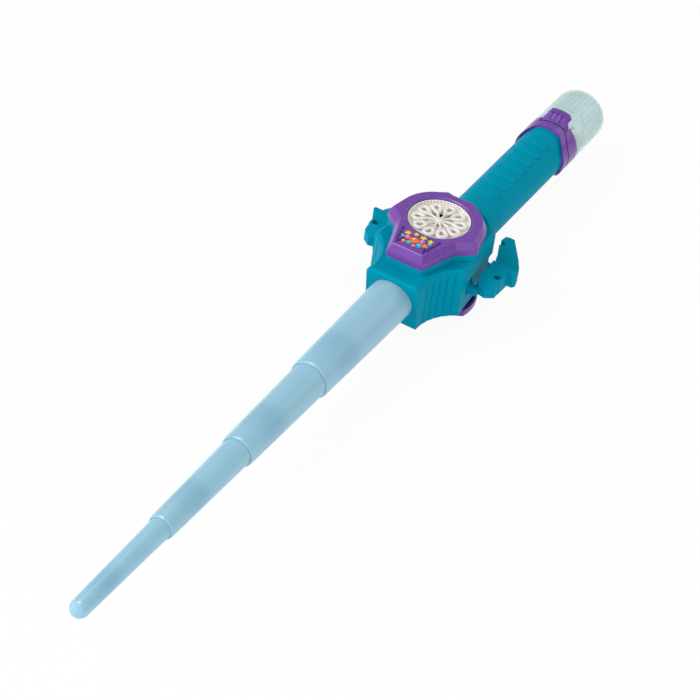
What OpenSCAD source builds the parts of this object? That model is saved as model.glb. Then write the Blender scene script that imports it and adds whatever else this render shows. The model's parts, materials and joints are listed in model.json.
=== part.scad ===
// Battery bubble wand in the form of a toy sword with a telescoping blade.
// The blade axis runs along Y with its tip towards -Y, and the bubble wheel faces up (+Z).
// The origin is the centre of the trigger's flat underside, straight below the wheel's axle.
// All heights below are measured from the blade axis, which lies axis_height above the origin.

/* [Blade] */
// Outer diameter of the base tube where it leaves the hilt
base_tube_dia = 33.4; // [31:0.1:34]
// Diameter lost per millimetre of tube length
tube_taper = 0.031; // [0.024:0.001:0.036]
// Wall of the blade tubes
tube_wall = 1.2; // [1:0.1:1.5]
// Radial gap between one tube and the next
slide_gap = 0.2; // [0.1:0.05:0.3]
// Length of the base tube in front of the hilt
base_tube_len = 112; // [105:1:130]
// Length of the second tube in front of the base tube
second_tube_len = 91; // [70:1:100]
// Length of the third tube in front of the second tube
third_tube_len = 90; // [70:1:95]
// Length of the tip tube in front of the third tube, up to its dome
tip_tube_len = 88; // [70:1:92]
// Length of each tube that stays inside the tube behind it
tube_overlap = 14; // [10:1:18]

/* [Hilt] */
// Distance from the wheel axle to the hilt's front face, along the blade axis
hilt_front = 60.7; // [59:0.1:64]
// Backward lean of the front face
front_lean = 10; // [5:0.5:12]
// Width of the front face
front_w = 41.6; // [41:0.1:44]
// Radius of the curve that flares each side outwards
flare_r = 37.4; // [36:0.1:40]
// Angle through which the flare turns
flare_sweep = 55; // [53:1:57]
// Distance from the wheel axle to the start of the flare
flare_start = 55; // [53:0.5:57]
// Width of the hilt at its rear corners
rear_w = 65; // [64:0.5:68]
// Distance from the wheel axle to the rear corners
rear_corner = 30; // [29:0.5:32]
// Distance from the wheel axle to the rear wall
hilt_rear = 36; // [35.5:0.5:38]
// Height of the deck above the blade axis
deck_height = 20.5; // [20:0.1:21.5]
// Depth of the underside below the blade axis
hilt_depth = 20; // [20:0.1:22]
// Bevel along the deck's edge
deck_bevel = 2.4; // [1.5:0.1:2.6]
// Wall of the hilt shells
hilt_wall = 2.2; // [2:0.1:2.4]
// Upright grooves on each flared side
groove_count = 5; // [3:1:7]
// Radius of a groove
groove_r = 0.5; // [0.3:0.1:0.8]

/* [Cover and wheel] */
// Height of the pedestal under the cover
pedestal_height = 4.7; // [4.5:0.1:6]
// Height of the cover's upright skirt
skirt_height = 5; // [4:0.1:6]
// Height of the cover's bevel above the skirt
bevel_height = 5.7; // [5:0.1:6.5]
// Width of the cover's bevel
bevel_width = 3.2; // [2.5:0.1:3.5]
// Wall of the cover
cover_wall = 1.8; // [1.5:0.1:2]
// Outer radius of the bubble dish
dish_r = 23; // [22:0.1:24]
// Wall of the dish
dish_wall = 1.1; // [0.8:0.1:1.4]
// Depth of the dish below the cover's top face
dish_depth = 4.9; // [4.4:0.1:5.4]
// Number of bubble loops
loop_count = 10; // [8:1:10]
// Distance from the wheel axle to the centre of a loop
loop_ring = 16; // [15.5:0.1:16.5]
// Outer radius of a loop's round end
loop_r = 4.6; // [4.2:0.1:4.8]
// Width of the loop's rib
loop_rib = 1.9; // [1.8:0.1:2.1]
// Thickness of the wheel
wheel_thick = 2.2; // [1.8:0.1:2.4]

/* [Drive] */
// Gear module
gear_module = 0.6; // [0.58:0.01:0.62]
// Backlash between meshing teeth
gear_backlash = 0.16; // [0.1:0.02:0.24]
// Teeth of the wheel gear
wheel_teeth = 44; // [42:1:45]
// Teeth of the large reduction gear
large_teeth = 32; // [30:1:33]
// Teeth of the small reduction gear
small_teeth = 10; // [10:1:12]
// Teeth of the motor pinion
pinion_teeth = 8; // [8:1:9]
// Teeth of the pump gear
pump_teeth = 20; // [18:1:21]
// Face width of the gears
gear_width = 2.4; // [2:0.1:2.6]
// Radius of the motor can
motor_r = 10; // [9:0.1:10.5]
// Radius of the fan impeller
impeller_r = 13; // [11:0.1:14]
// Number of impeller blades
impeller_blades = 10; // [6:1:12]
// Outer radius of the feed tube
feed_r = 1.6; // [1.4:0.1:1.7]

/* [Wings] */
// Thickness of the wing's front part
wing_thick = 12.8; // [12.4:0.1:13.2]
// Thickness of the wing's rear fin
fin_thick = 6.5; // [6:0.1:7]
// Slope of the wing's front facet
wing_front_slope = 28; // [24:1:30]
// Radius of the scoop between the front part and the fin
scoop_r = 6; // [4:0.1:6]
// Side of the square hole in the wing
wing_hole = 4.4; // [3:0.1:5]
// Radius of the wing pins
wing_pin_r = 1.5; // [1.2:0.1:1.7]

/* [Trigger] */
// Radius of the round paddle trigger
trigger_r = 36.3; // [35:0.1:36.5]
// Height of the trigger
trigger_height = 7.2; // [6.5:0.1:8]
// Gap between the trigger's rim and the hilt, which sets its travel
trigger_gap = 6; // [5.5:0.1:6.5]
// Distance from the wheel axle to the trigger's blunt front
trigger_front = 24; // [23:0.1:25]
// Wall of the trigger
trigger_wall = 1.8; // [1.5:0.1:2.2]
// Radius of the trigger's hinge pin
trigger_pin_r = 1.5; // [1.2:0.1:1.6]

/* [Grip and pommel] */
// Outer radius of the grip
grip_r = 19; // [18.6:0.1:19.6]
// Wall of the grip
grip_wall = 2; // [1.6:0.1:2.2]
// Distance from the wheel axle to the grip's front end
grip_front = 67; // [65:0.5:70]
// Length of the grip
grip_len = 109; // [105:0.5:115]
// Drop of the grip's axis below the blade axis
grip_drop = 3; // [2.5:0.1:3]
// Number of raised bands on the grip
band_count = 7; // [4:1:7]
// Height of the raised bands
band_height = 0.8; // [0.4:0.1:1]
// Width of a raised band
band_width = 8; // [5:0.1:9]
// Outer radius of the pommel collar
collar_r = 21.2; // [21:0.1:22]
// Length of the collar along its sides
collar_len = 22.8; // [22.5:0.1:24]
// Height of the catch button above the collar
catch_height = 3.9; // [3.4:0.1:4.4]
// Travel of the catch button
catch_travel = 1; // [0.6:0.1:1]

/* [Bottle] */
// Outer radius of the bottle
bottle_r = 21.3; // [20:0.1:22]
// Length of the bottle behind the collar
bottle_len = 52; // [48:0.5:60]
// Wall of the bottle
bottle_wall = 1.5; // [1.3:0.1:1.8]
// Number of flutes round the bottle
flute_count = 16; // [8:1:20]

/* [Hidden] */
$fn = 64;

// Shared fits and sizes
running_gap = 0.05;
part_gap = 0.3;
fixed_gap = 0.02;
big = 200;
overcut = 1;
arc_steps = 8;

// Stack of heights under and over the blade axis
axis_height = hilt_depth + trigger_gap + trigger_height;
floor_top = -hilt_depth + hilt_wall;
deck_under = deck_height - hilt_wall;
cover_z = deck_height + pedestal_height;
cover_top = cover_z + skirt_height + bevel_height;
cover_under = cover_top - cover_wall;
dish_floor_top = cover_top - dish_depth;
dish_floor_thick = 1.4;
dish_floor_z = dish_floor_top - dish_floor_thick;
wheel_lift = 0.8;
wheel_z = dish_floor_top + wheel_lift;

// Blade diameters and places
face_y = -hilt_front;
socket_depth = 12;
base_rear = face_y + socket_depth;
mouth_1 = face_y - base_tube_len;
mouth_2 = mouth_1 - second_tube_len;
mouth_3 = mouth_2 - third_tube_len;
dome_y = mouth_3 - tip_tube_len;
tube_step = 2 * (tube_wall + slide_gap);
base_mouth_dia = base_tube_dia - tube_taper * base_tube_len;
second_dia = base_mouth_dia - tube_step;
second_mouth_dia = second_dia - tube_taper * second_tube_len;
third_dia = second_mouth_dia - tube_step;
third_mouth_dia = third_dia - tube_taper * third_tube_len;
tip_dia = third_mouth_dia - tube_step;
dome_dia = tip_dia - tube_taper * tip_tube_len;
flange_thick = 2;
lip_len = 2.6;
lip_turn = 0.7;
lip_steps = 5;
flange_r = min(front_w / 2, hilt_depth) - hilt_wall - part_gap;
rib_thick = 2.2;

// Gear train: wheel gear at the origin, pinion straight ahead of it, pump gear to the left
wheel_pitch_r = gear_module * wheel_teeth / 2;
large_pitch_r = gear_module * large_teeth / 2;
small_pitch_r = gear_module * small_teeth / 2;
pinion_pitch_r = gear_module * pinion_teeth / 2;
pump_pitch_r = gear_module * pump_teeth / 2;
motor_y = -24;
reduction_d = wheel_pitch_r + small_pitch_r;
pinion_d = large_pitch_r + pinion_pitch_r;
motor_d = -motor_y;
reduction_turn = acos((reduction_d * reduction_d + motor_d * motor_d - pinion_d * pinion_d)
                      / (2 * reduction_d * motor_d));
reduction_dir = reduction_turn - 90;
reduction_x = reduction_d * cos(reduction_dir);
reduction_y = reduction_d * sin(reduction_dir);
motor_dir = atan2(motor_y - reduction_y, -reduction_x);
pump_x = -(wheel_pitch_r + pump_pitch_r);
pump_turn = (0.5 + ((180 - reduction_dir) * wheel_teeth / 360) % 1) * 360 / pump_teeth;
gear_low_z = deck_height + 0.5;
gear_high_z = gear_low_z + gear_width + part_gap;
axle_r = 1.5;
gear_axle_r = 1.2;
shaft_r = 1;

// Fan and duct
fan_wall = 1.2;
fan_gap = 2.8;
fan_r = impeller_r + fan_gap + fan_wall;
fan_top = -6;
duct_half = 8;
duct_front = 14.5;
duct_rear = 24.5;
plenum_front = 4.5;
plenum_z = gear_high_z + gear_width + 0.4;
duct_low = fan_top - 1;

// Pump
pump_r = 10.6;
pump_low = 10.6;
pump_floor = 1;
pump_track_r = 8.6;
pump_mid = 14.6;
roller_r = 1.5;
roller_ring = pump_track_r - feed_r - 0.2 - roller_r;

// Wing hinges, and the pocket and corner notch that the wings fold into
wing_pin_x = 32;
wing_pin_y = -9.5;
wing_low = -7;
wing_top = wing_low + wing_thick;
fin_top = wing_low + fin_thick;
knuckle_r = 3.2;
knuckle_low = wing_low;
knuckle_top = 2;
pocket_low = -8.3;
pocket_top = 4.6;
notch_top = 1.4;
wing_pin_low = pocket_low - 4;
wing_pin_top = pocket_top + 4;

// Trigger hinge, switch and spring
hinge_y = -19;
hinge_z = -hilt_depth - 4;
barrel_r = 2.7;
barrel_half = 6;
lug_width = 3;
lug_x = barrel_half + part_gap;
trigger_rim = -hilt_depth - trigger_gap;
trigger_floor = -axis_height + trigger_wall;
trigger_bevel = 2.2;
switch_x = 16;
switch_y = 14;
button_r = 1.5;
button_low = -hilt_depth - 3.4;
button_len = 8.4;
spring_y = 12;

// Grip, batteries and pommel
grip_z = -grip_drop;
grip_rear = grip_front + grip_len;
grip_bore = grip_r - grip_wall;
spigot_len = 8;
neck_bore = 14.5;
neck_narrow_r = 17.5;
block_front = 44;
block_rear = 52;
block_r = grip_r - 0.4;
band_first = grip_front + 5;
band_pitch = (grip_len - 18) / 7;
band_angle = 68;
cell_r = 7.25;
cell_len = 49;
cell_nub = 1.4;
cell_ring = cell_r * 2 / sqrt(3) + 0.2;
contact_thick = 0.4;
holder_plate = 4;
holder_y = grip_front + 14;
cell_y = holder_y + holder_plate + contact_thick;
holder_rear = cell_y + cell_len + cell_nub + contact_thick;
door_half = 12.2;
door_gap = 0.25;
door_front = holder_y - 4;
door_rear = holder_rear + holder_plate + 4;
door_screw_y = holder_rear + holder_plate / 2;
collar_front = grip_rear - 10;
collar_rear = collar_front + collar_len;
collar_bore = grip_r + 0.1;
collar_inner = collar_bore - 0.3;
arch_step = 8;
arch_top_half = 10.6;
arch_foot_half = 18.5;
plug_y = grip_rear + 0.2;
plug_disc = 4;
plug_rear = collar_rear - 1.3;
spout_r = 11.2;
seal_ring_r = 10.85;
seal_r = 1.05;
seal_y = plug_rear - 2.7;
dip_z = grip_z - 3;
catch_half = 11.6;
catch_top_half = 7.8;
catch_front = collar_rear - 6.1;
catch_rear = collar_rear + 6.7;
catch_r = collar_r + catch_height;
catch_under_r = bottle_r + catch_travel + 0.3;
catch_seat_r = collar_r - 0.2;
catch_room_r = catch_seat_r - catch_travel - part_gap;
leg_half = 5;
leg_front = collar_rear - 5.2;
leg_rear = collar_rear - 1.1;
leg_mid = (leg_front + leg_rear) / 2;
catch_gap = 0.3;
shelf_thick = 1;
neck_r = 13.5;
shelf_z = grip_z + neck_r + 0.4;
catch_low = shelf_z + shelf_thick + catch_travel + part_gap;
catch_flange = 0.9;
catch_pocket_r = 1.6;
catch_pocket_top = grip_z + catch_seat_r;

// Screws
screw_r = 1.2;
screw_head_r = 2.4;
screw_head = 1.7;
cover_posts = [[9.5, -42.5], [30.2, -8.5]];
housing_posts = [[24, -26], [16.5, 29.5]];
post_r = 2.6;
housing_post_r = 3.6;

// Colours
teal = "#0a90a9";
purple = "#7d54ab";
ice_blue = "#9cc6da";
white_plastic = "#ebe7e2";
clear_teal = "#bcd8da";
steel = "#b9bcc0";
dark = "#33363b";
brass = "#c9a94f";

// Outline helpers
function arc(cx, cy, r, a0, a1, n) = [for (i = [0 : n]) let (a = a0 + (a1 - a0) * i / n)
    [cx + r * cos(a), cy + r * sin(a)]];
function both_sides(half) = concat(half, [for (i = [len(half) - 1 : -1 : 0]) [-half[i][0], half[i][1]]]);
function edge_normal(a, b) = let (d = b - a) [d[1], -d[0]] / norm(d);
// Mitred inset of a counter-clockwise outline
function inset(pts, d) = [for (i = [0 : len(pts) - 1])
    let (n = len(pts), p = pts[i],
         m = edge_normal(pts[(i + n - 1) % n], p),
         k = edge_normal(p, pts[(i + 1) % n]))
    p - (m + k) * d / (1 + m * k)];

module prism(pts, z0, z1) {
    translate([0, 0, z0]) linear_extrude(height = z1 - z0) polygon(pts);
}

// Straight loft between two mirrored outlines with the same number of points.
// Each cap is laid in strips from side to side; a dipped outline has a notch at its rear.
module loft(low, z0, high, z1, dipped = false) {
    n = len(low);
    h = n / 2;
    strips = [for (i = [0 : h - (dipped ? 4 : 2)]) each [[i, i + 1, n - 2 - i], [i, n - 2 - i, n - 1 - i]]];
    dip = dipped ? [[h - 3, h - 2, h - 1], [h - 3, h - 1, h], [h - 3, h, h + 2], [h + 2, h, h + 1]] : [];
    cap = concat(strips, dip);
    polyhedron(
        points = concat([for (p = low) [p[0], p[1], z0]], [for (p = high) [p[0], p[1], z1]]),
        faces = concat(cap, [for (f = cap) [n + f[2], n + f[1], n + f[0]]],
                       [for (i = [0 : n - 1]) let (j = (i + 1) % n) [i, n + i, n + j, j]]));
}

module lift() { translate([0, 0, axis_height]) children(); }

// Local +Z points to the blade's tip or to the pommel
module to_tip(y) { translate([0, y, 0]) rotate([90, 0, 0]) children(); }
module to_pommel(y, z = grip_z) { translate([0, y, z]) rotate([-90, 0, 0]) children(); }

module ring(r_out, r_in, h) {
    difference() {
        cylinder(h = h, r = r_out);
        translate([0, 0, -overcut]) cylinder(h = h + 2 * overcut, r = r_in);
    }
}

module mirrored_x() {
    children();
    mirror([1, 0, 0]) children();
}

// Box given by its low and high corners
module span(low, high) { translate(low) cube(high - low); }

// Gears with involute flanks
pressure_angle = 28;
addendum = 0.8 * gear_module;
dedendum = 1.05 * gear_module;
function inv_deg(a) = tan(a) * 180 / PI - a;
function half_tooth(n, rho) = let (r = gear_module * n / 2, rb = r * cos(pressure_angle))
    90 / n - gear_backlash / (4 * r) * 180 / PI + inv_deg(pressure_angle)
    - inv_deg(acos(min(1, rb / rho)));
function flank_radii(n) = let (r = gear_module * n / 2, rb = r * cos(pressure_angle),
    root = r - dedendum, start = max(rb, root), tip = r + addendum)
    concat(root < rb ? [root] : [], [start, (start + tip) / 2, tip]);
function gear_outline(n) = let (radii = flank_radii(n), k = len(radii))
    [for (i = [0 : n - 1]) each concat(
        [for (j = [0 : k - 1]) let (a = 360 * i / n - half_tooth(n, radii[j]))
            radii[j] * [cos(a), sin(a)]],
        [for (j = [k - 1 : -1 : 0]) let (a = 360 * i / n + half_tooth(n, radii[j]))
            radii[j] * [cos(a), sin(a)]])];
module gear(n, turn, z0, h) { rotate([0, 0, turn]) prism(gear_outline(n), z0, z0 + h); }

// Tube swept along a route, with its bore
function route_smooth(pts, steps) = let (n = len(pts)) concat([for (i = [0 : n - 2]) for (s = [0 : steps - 1])
    let (t = s / steps, a = pts[max(i - 1, 0)], b = pts[i], c = pts[i + 1], d = pts[min(i + 2, n - 1)])
    0.5 * (2 * b + (c - a) * t + (2 * a - 5 * b + 4 * c - d) * t * t + (3 * b - a - 3 * c + d) * t * t * t)],
    [pts[n - 1]]);
function unit(v) = v / norm(v);
function across(t) = unit(cross(t, abs(t[2]) < 0.9 ? [0, 0, 1] : [0, 1, 0]));
module swept_tube(pts, r_out, r_in, sides) {
    n = len(pts);
    dirs = [for (i = [0 : n - 1]) unit(pts[min(i + 1, n - 1)] - pts[max(i - 1, 0)])];
    function rim(i, r) = let (u = across(dirs[i]), v = cross(dirs[i], u))
        [for (k = [0 : sides - 1]) let (a = 360 * k / sides) pts[i] + r * (cos(a) * u + sin(a) * v)];
    function skin(base, flip) = [for (i = [0 : n - 2]) for (k = [0 : sides - 1])
        let (m = (k + 1) % sides, a = base + i * sides, b = base + (i + 1) * sides)
        each flip ? [[a + k, a + m, b + m], [a + k, b + m, b + k]]
                  : [[a + k, b + m, a + m], [a + k, b + k, b + m]]];
    inner = n * sides;
    last = (n - 1) * sides;
    polyhedron(
        points = concat([for (i = [0 : n - 1]) each rim(i, r_out)], [for (i = [0 : n - 1]) each rim(i, r_in)]),
        faces = concat(skin(0, false), skin(inner, true),
            [for (k = [0 : sides - 1]) let (m = (k + 1) % sides)
                each [[k, m, inner + m], [k, inner + m, inner + k]]],
            [for (k = [0 : sides - 1]) let (m = (k + 1) % sides)
                each [[last + k, inner + last + m, last + m],
                      [last + k, inner + last + k, inner + last + m]]]));
}

// Coil spring along Z, as one tube wound by a formula
module coil_spring(r, wire, height, turns) {
    rings = 12;
    sides = 6;
    rise = height - 2 * wire;
    count = turns * rings;
    points = [for (i = [0 : count]) let (a = 360 * i / rings)
        each [for (k = [0 : sides - 1]) let (b = 360 * k / sides, q = r + wire * cos(b))
            [q * cos(a), q * sin(a), wire + rise * i / count + wire * sin(b)]]];
    end = count * sides;
    polyhedron(points = points, faces = concat(
        [[for (k = [0 : sides - 1]) k]], [[for (k = [sides - 1 : -1 : 0]) end + k]],
        [for (i = [0 : count - 1]) for (k = [0 : sides - 1])
            let (m = (k + 1) % sides, a = i * sides, b = a + sides)
            each [[a + k, b + m, a + m], [a + k, b + k, b + m]]]));
}

// Outlines of the hilt and the cover
flare_cx = front_w / 2 + flare_r;
hilt_half = concat([[front_w / 2, -hilt_front - 8]],
    arc(flare_cx, -flare_start, flare_r, 180, 180 - flare_sweep, arc_steps),
    [[rear_w / 2, rear_corner], [rear_w / 2 - 13, hilt_rear]]);
hilt_plan = both_sides(hilt_half);
nose_half = 14.6;
nose_y = -49.7;
waist = [24.7, -19.2];
ear = [36.6, -9.3];
back_r = 34.3;
tail = [10.5, 34.6];
tail_notch = [6, 33.2];
cover_side = concat([[nose_half, nose_y], waist, ear], arc(0, 0, back_r, 9, 60, arc_steps));
cover_plan = both_sides(concat(cover_side, [tail, tail_notch]));
cover_plain = both_sides(concat(cover_side, [[tail[0], tail_notch[1]]]));
pedestal_inset = 0.2;
pocket_plan = [[27.6, -14.5], [50, -14.5], [50, -4.2], [27.6, -4.2]];
notch_plan = [[33, 24], [50, 24], [50, 45], [24, 45]];
wing_plan = [[39.3, -4.8], [42, -8.5], [48.4, -10], [54.2, -5.6], [54.8, 13], [58.6, 13.2], [60, 16], [58.5, 22],
             [55.8, 28.5], [50.8, 37], [37.1, 56.6], [33.4, 56.8], [30.3, 55.9], [29.5, 50.4], [31.1, 43.5],
             [35.1, 35], [36.6, 28.8], [38.2, 24.8], [39.4, 18.3]];
// The trigger is round behind and blunt like a wedge in front
wedge_turn = 14.7;
wedge_slope = 30;
wedge_half = trigger_r * cos(wedge_turn) - (trigger_front - trigger_r * sin(wedge_turn)) / tan(wedge_slope);
trigger_plan = both_sides(concat([[wedge_half, -trigger_front]], arc(0, 0, trigger_r, -wedge_turn, 84, 2 * arc_steps)));

// Blade tubes, each with its mouth turned in to a round lip
module cone_tube(y_rear, length, rear_dia) {
    function radius(z) = (rear_dia - tube_taper * z) / 2;
    lip = length - lip_len;
    to_tip(y_rear) rotate_extrude() polygon(concat(
        [[radius(0) - tube_wall, 0], [radius(0), 0]],
        [for (i = [0 : lip_steps]) let (a = 90 * i / lip_steps, z = lip + lip_len * sin(a))
            [radius(z) - lip_turn * tube_wall * (1 - cos(a)), z]],
        [[radius(length) - tube_wall, length]]));
}

module sliding_tube(mouth, length, dia) {
    cone_tube(mouth + tube_overlap, length + tube_overlap, dia + tube_taper * tube_overlap);
}

module blade_base_tube() color(ice_blue, 0.8) lift() {
    rear_dia = base_tube_dia + tube_taper * socket_depth;
    cone_tube(base_rear, base_tube_len + socket_depth, rear_dia);
    to_tip(base_rear) ring(flange_r, rear_dia / 2 - tube_wall, flange_thick);
}

module blade_second_tube() color(ice_blue, 0.8) lift() sliding_tube(mouth_1, second_tube_len, second_dia);

module blade_third_tube() color(ice_blue, 0.8) lift() sliding_tube(mouth_2, third_tube_len, third_dia);

module blade_tip_tube() color(ice_blue, 0.8) lift() {
    length = tip_tube_len + tube_overlap;
    rear_dia = tip_dia + tube_taper * tube_overlap;
    to_tip(mouth_3 + tube_overlap) difference() {
        union() {
            cylinder(h = length, d1 = rear_dia, d2 = dome_dia);
            translate([0, 0, length]) sphere(d = dome_dia);
        }
        translate([0, 0, -overcut])
            cylinder(h = length + overcut, d1 = rear_dia + tube_taper * overcut - 2 * tube_wall,
                     d2 = dome_dia - 2 * tube_wall);
        translate([0, 0, length]) sphere(d = dome_dia - 2 * tube_wall);
    }
}

// Everything ahead of the leaning front face, moved back by an amount
module front_cut(back) {
    translate([0, face_y + back, 0]) rotate([front_lean, 0, 0])
        translate([-big / 2, -big, -big / 2]) cube([big, big, big]);
}

module hilt_outside() {
    front_edge = face_y - deck_height * tan(front_lean);
    difference() {
        union() {
            prism(hilt_plan, -hilt_depth, deck_height - deck_bevel);
            loft(hilt_plan, deck_height - deck_bevel, inset(hilt_plan, deck_bevel), deck_height);
        }
        front_cut(0);
        translate([0, front_edge, deck_height]) rotate([45, 0, 0])
            cube([big, deck_bevel * sqrt(2), deck_bevel * sqrt(2)], center = true);
        wing_room(0);
        mirrored_x() for (i = [1 : groove_count])
            let (a = 180 - flare_sweep * i / (groove_count + 1))
            translate([flare_cx + flare_r * cos(a), -flare_start + flare_r * sin(a), -hilt_depth - overcut])
                cylinder(h = hilt_depth + deck_height - deck_bevel, r = groove_r);
    }
}

module hilt_cavity() {
    difference() {
        prism(inset(hilt_plan, hilt_wall), floor_top, deck_under);
        front_cut(hilt_wall / cos(front_lean));
        wing_room(hilt_wall);
    }
}

// Neck behind the hilt: narrow, then an eight-sided block, then round, and the spigot that the grip fits over
module neck() {
    start = hilt_rear - hilt_wall;
    to_pommel(start) {
        rotate([0, 0, 22.5]) cylinder(h = block_front + overcut - start, r = neck_narrow_r, $fn = 8);
        cylinder(h = grip_front + spigot_len - start, r = grip_bore - running_gap);
    }
    to_pommel(block_front) rotate([0, 0, 22.5]) cylinder(h = block_rear + overcut - block_front, r = block_r, $fn = 8);
    to_pommel(block_rear) cylinder(h = grip_front - block_rear, r = grip_r);
}

module neck_bore() {
    to_pommel(hilt_rear - 2 * hilt_wall) cylinder(h = big, r = neck_bore);
}

// Two ribs that trap the blade's flange
module blade_ribs() {
    front_y = base_rear - flange_thick - rib_thick - 0.1;
    intersection() {
        prism(inset(hilt_plan, hilt_wall), floor_top, deck_under);
        difference() {
            span([-big, front_y, -big], [big, base_rear + rib_thick + 0.1, big]);
            span([-big, base_rear - flange_thick - 0.1, -big], [big, base_rear + 0.1, big]);
        }
    }
}

module blade_hole() {
    rear_dia = base_tube_dia + tube_taper * socket_depth;
    to_tip(base_rear) cylinder(h = socket_depth + hilt_front, d = rear_dia + 0.1);
    to_tip(base_rear + big / 10) cylinder(h = big / 10 + overcut, d = rear_dia - 6);
}

// Pocket for each wing's hinge, and the notch in the rear corner for its fin
module wing_room(grow) {
    mirrored_x() {
        prism(inset(pocket_plan, -grow), pocket_low - grow, pocket_top + grow);
        prism(inset(notch_plan, -grow), pocket_low - grow, notch_top + grow);
    }
}

module wing_pin_holes() {
    mirrored_x() translate([wing_pin_x, wing_pin_y, wing_pin_low])
        cylinder(h = wing_pin_top - wing_pin_low, r = wing_pin_r + fixed_gap);
}

// Wall under the cover, solid round the two posts in its ears
module pedestal() {
    outer = inset(cover_plain, pedestal_inset);
    edge_inset = 0.3;
    hollow_half = 27;
    difference() {
        intersection() {
            prism(outer, deck_under, cover_z);
            prism(inset(hilt_plan, edge_inset), deck_under, cover_z);
        }
        intersection() {
            prism(inset(outer, hilt_wall), deck_under - overcut, cover_z + overcut);
            span([-hollow_half, -big, -big], [hollow_half, big, big]);
        }
        for (p = cover_posts) mirrored_x() translate([p[0], p[1], 0]) {
            cylinder(h = big, r = screw_r + running_gap);
            translate([0, 0, deck_height]) cylinder(h = big, r = post_r + running_gap);
        }
    }
}

module wing_pin_bosses() {
    mirrored_x() translate([wing_pin_x, wing_pin_y, wing_pin_low]) intersection() {
        cylinder(h = wing_pin_top - wing_pin_low, r = wing_pin_r + hilt_wall);
        translate([-big + 3, -big / 2, 0]) cube([big, big, big]);
    }
}

module hilt_upper_shell() color(teal) lift() {
    difference() {
        intersection() {
            union() {
                difference() {
                    hilt_outside();
                    hilt_cavity();
                }
                difference() {
                    neck();
                    hilt_cavity();
                }
                difference() {
                    blade_ribs();
                    front_cut(0);
                }
                difference() {
                    wing_pin_bosses();
                    wing_room(0);
                }
                for (p = housing_posts) mirrored_x()
                    translate([p[0], p[1], 0]) cylinder(h = deck_height - overcut, r = housing_post_r);
            }
            span([-big, -big, 0], [big, big, big]);
        }
        neck_bore();
        blade_hole();
        wing_pin_holes();
        for (p = housing_posts) mirrored_x()
            translate([p[0], p[1], -overcut]) cylinder(h = 11, r = screw_r + running_gap);
        for (p = cover_posts) mirrored_x()
            translate([p[0], p[1], deck_under - overcut]) cylinder(h = big, r = screw_r + running_gap);
        translate([0, 0, deck_under - overcut]) {
            cylinder(h = big, r = axle_r + running_gap);
            translate([0, motor_y, 0]) cylinder(h = big, r = pinion_pitch_r + addendum + part_gap);
            translate([reduction_x, reduction_y, 0]) cylinder(h = big, r = gear_axle_r + fixed_gap);
            translate([pump_x, 0, 0]) cylinder(h = big, r = gear_axle_r + 2);
            translate([-22.4, 15.8, 0]) cylinder(h = big, r = feed_r + 1.5);
        }
        span([-duct_half - 0.2, duct_front - 0.2, deck_under - overcut],
             [duct_half + 0.2, duct_rear + 0.2, deck_height + overcut]);
    }
    pedestal();
}

module hilt_lower_shell() color(teal) lift() {
    difference() {
        union() {
            intersection() {
                union() {
                    difference() {
                        hilt_outside();
                        hilt_cavity();
                    }
                    difference() {
                        neck();
                        hilt_cavity();
                    }
                    difference() {
                        blade_ribs();
                        front_cut(0);
                    }
                    difference() {
                        wing_pin_bosses();
                        wing_room(0);
                    }
                    for (p = housing_posts) mirrored_x() translate([p[0], p[1], overcut - hilt_depth])
                        cylinder(h = hilt_depth - overcut, r = housing_post_r);
                }
                span([-big, -big, -big], [big, big, 0]);
            }
            mirrored_x() difference() {
                union() {
                    translate([lug_x, hinge_y, hinge_z]) rotate([0, 90, 0]) cylinder(h = lug_width, r = barrel_r);
                    span([lug_x, hinge_y - barrel_r, hinge_z], [lug_x + lug_width, hinge_y + barrel_r, -hilt_depth]);
                }
                translate([lug_x - overcut, hinge_y, hinge_z]) rotate([0, 90, 0])
                    cylinder(h = lug_width + 2 * overcut, r = trigger_pin_r + fixed_gap);
            }
        }
        neck_bore();
        blade_hole();
        wing_pin_holes();
        for (p = housing_posts) mirrored_x() translate([p[0], p[1], -hilt_depth - overcut]) {
            cylinder(h = big, r = screw_r + part_gap);
            cylinder(h = screw_head + 0.4 + overcut, r = screw_head_r + part_gap);
        }
        translate([switch_x, switch_y, -hilt_depth - overcut]) cylinder(h = hilt_wall + 2 * overcut, r = button_r + 0.3);
        for (i = [0 : 6]) let (d = i == 0 ? 0 : 5.2)
            translate([d * cos(60 * i), motor_y + d * sin(60 * i), -hilt_depth - overcut])
                cylinder(h = hilt_wall + 2 * overcut, r = 1.9);
    }
}

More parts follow.
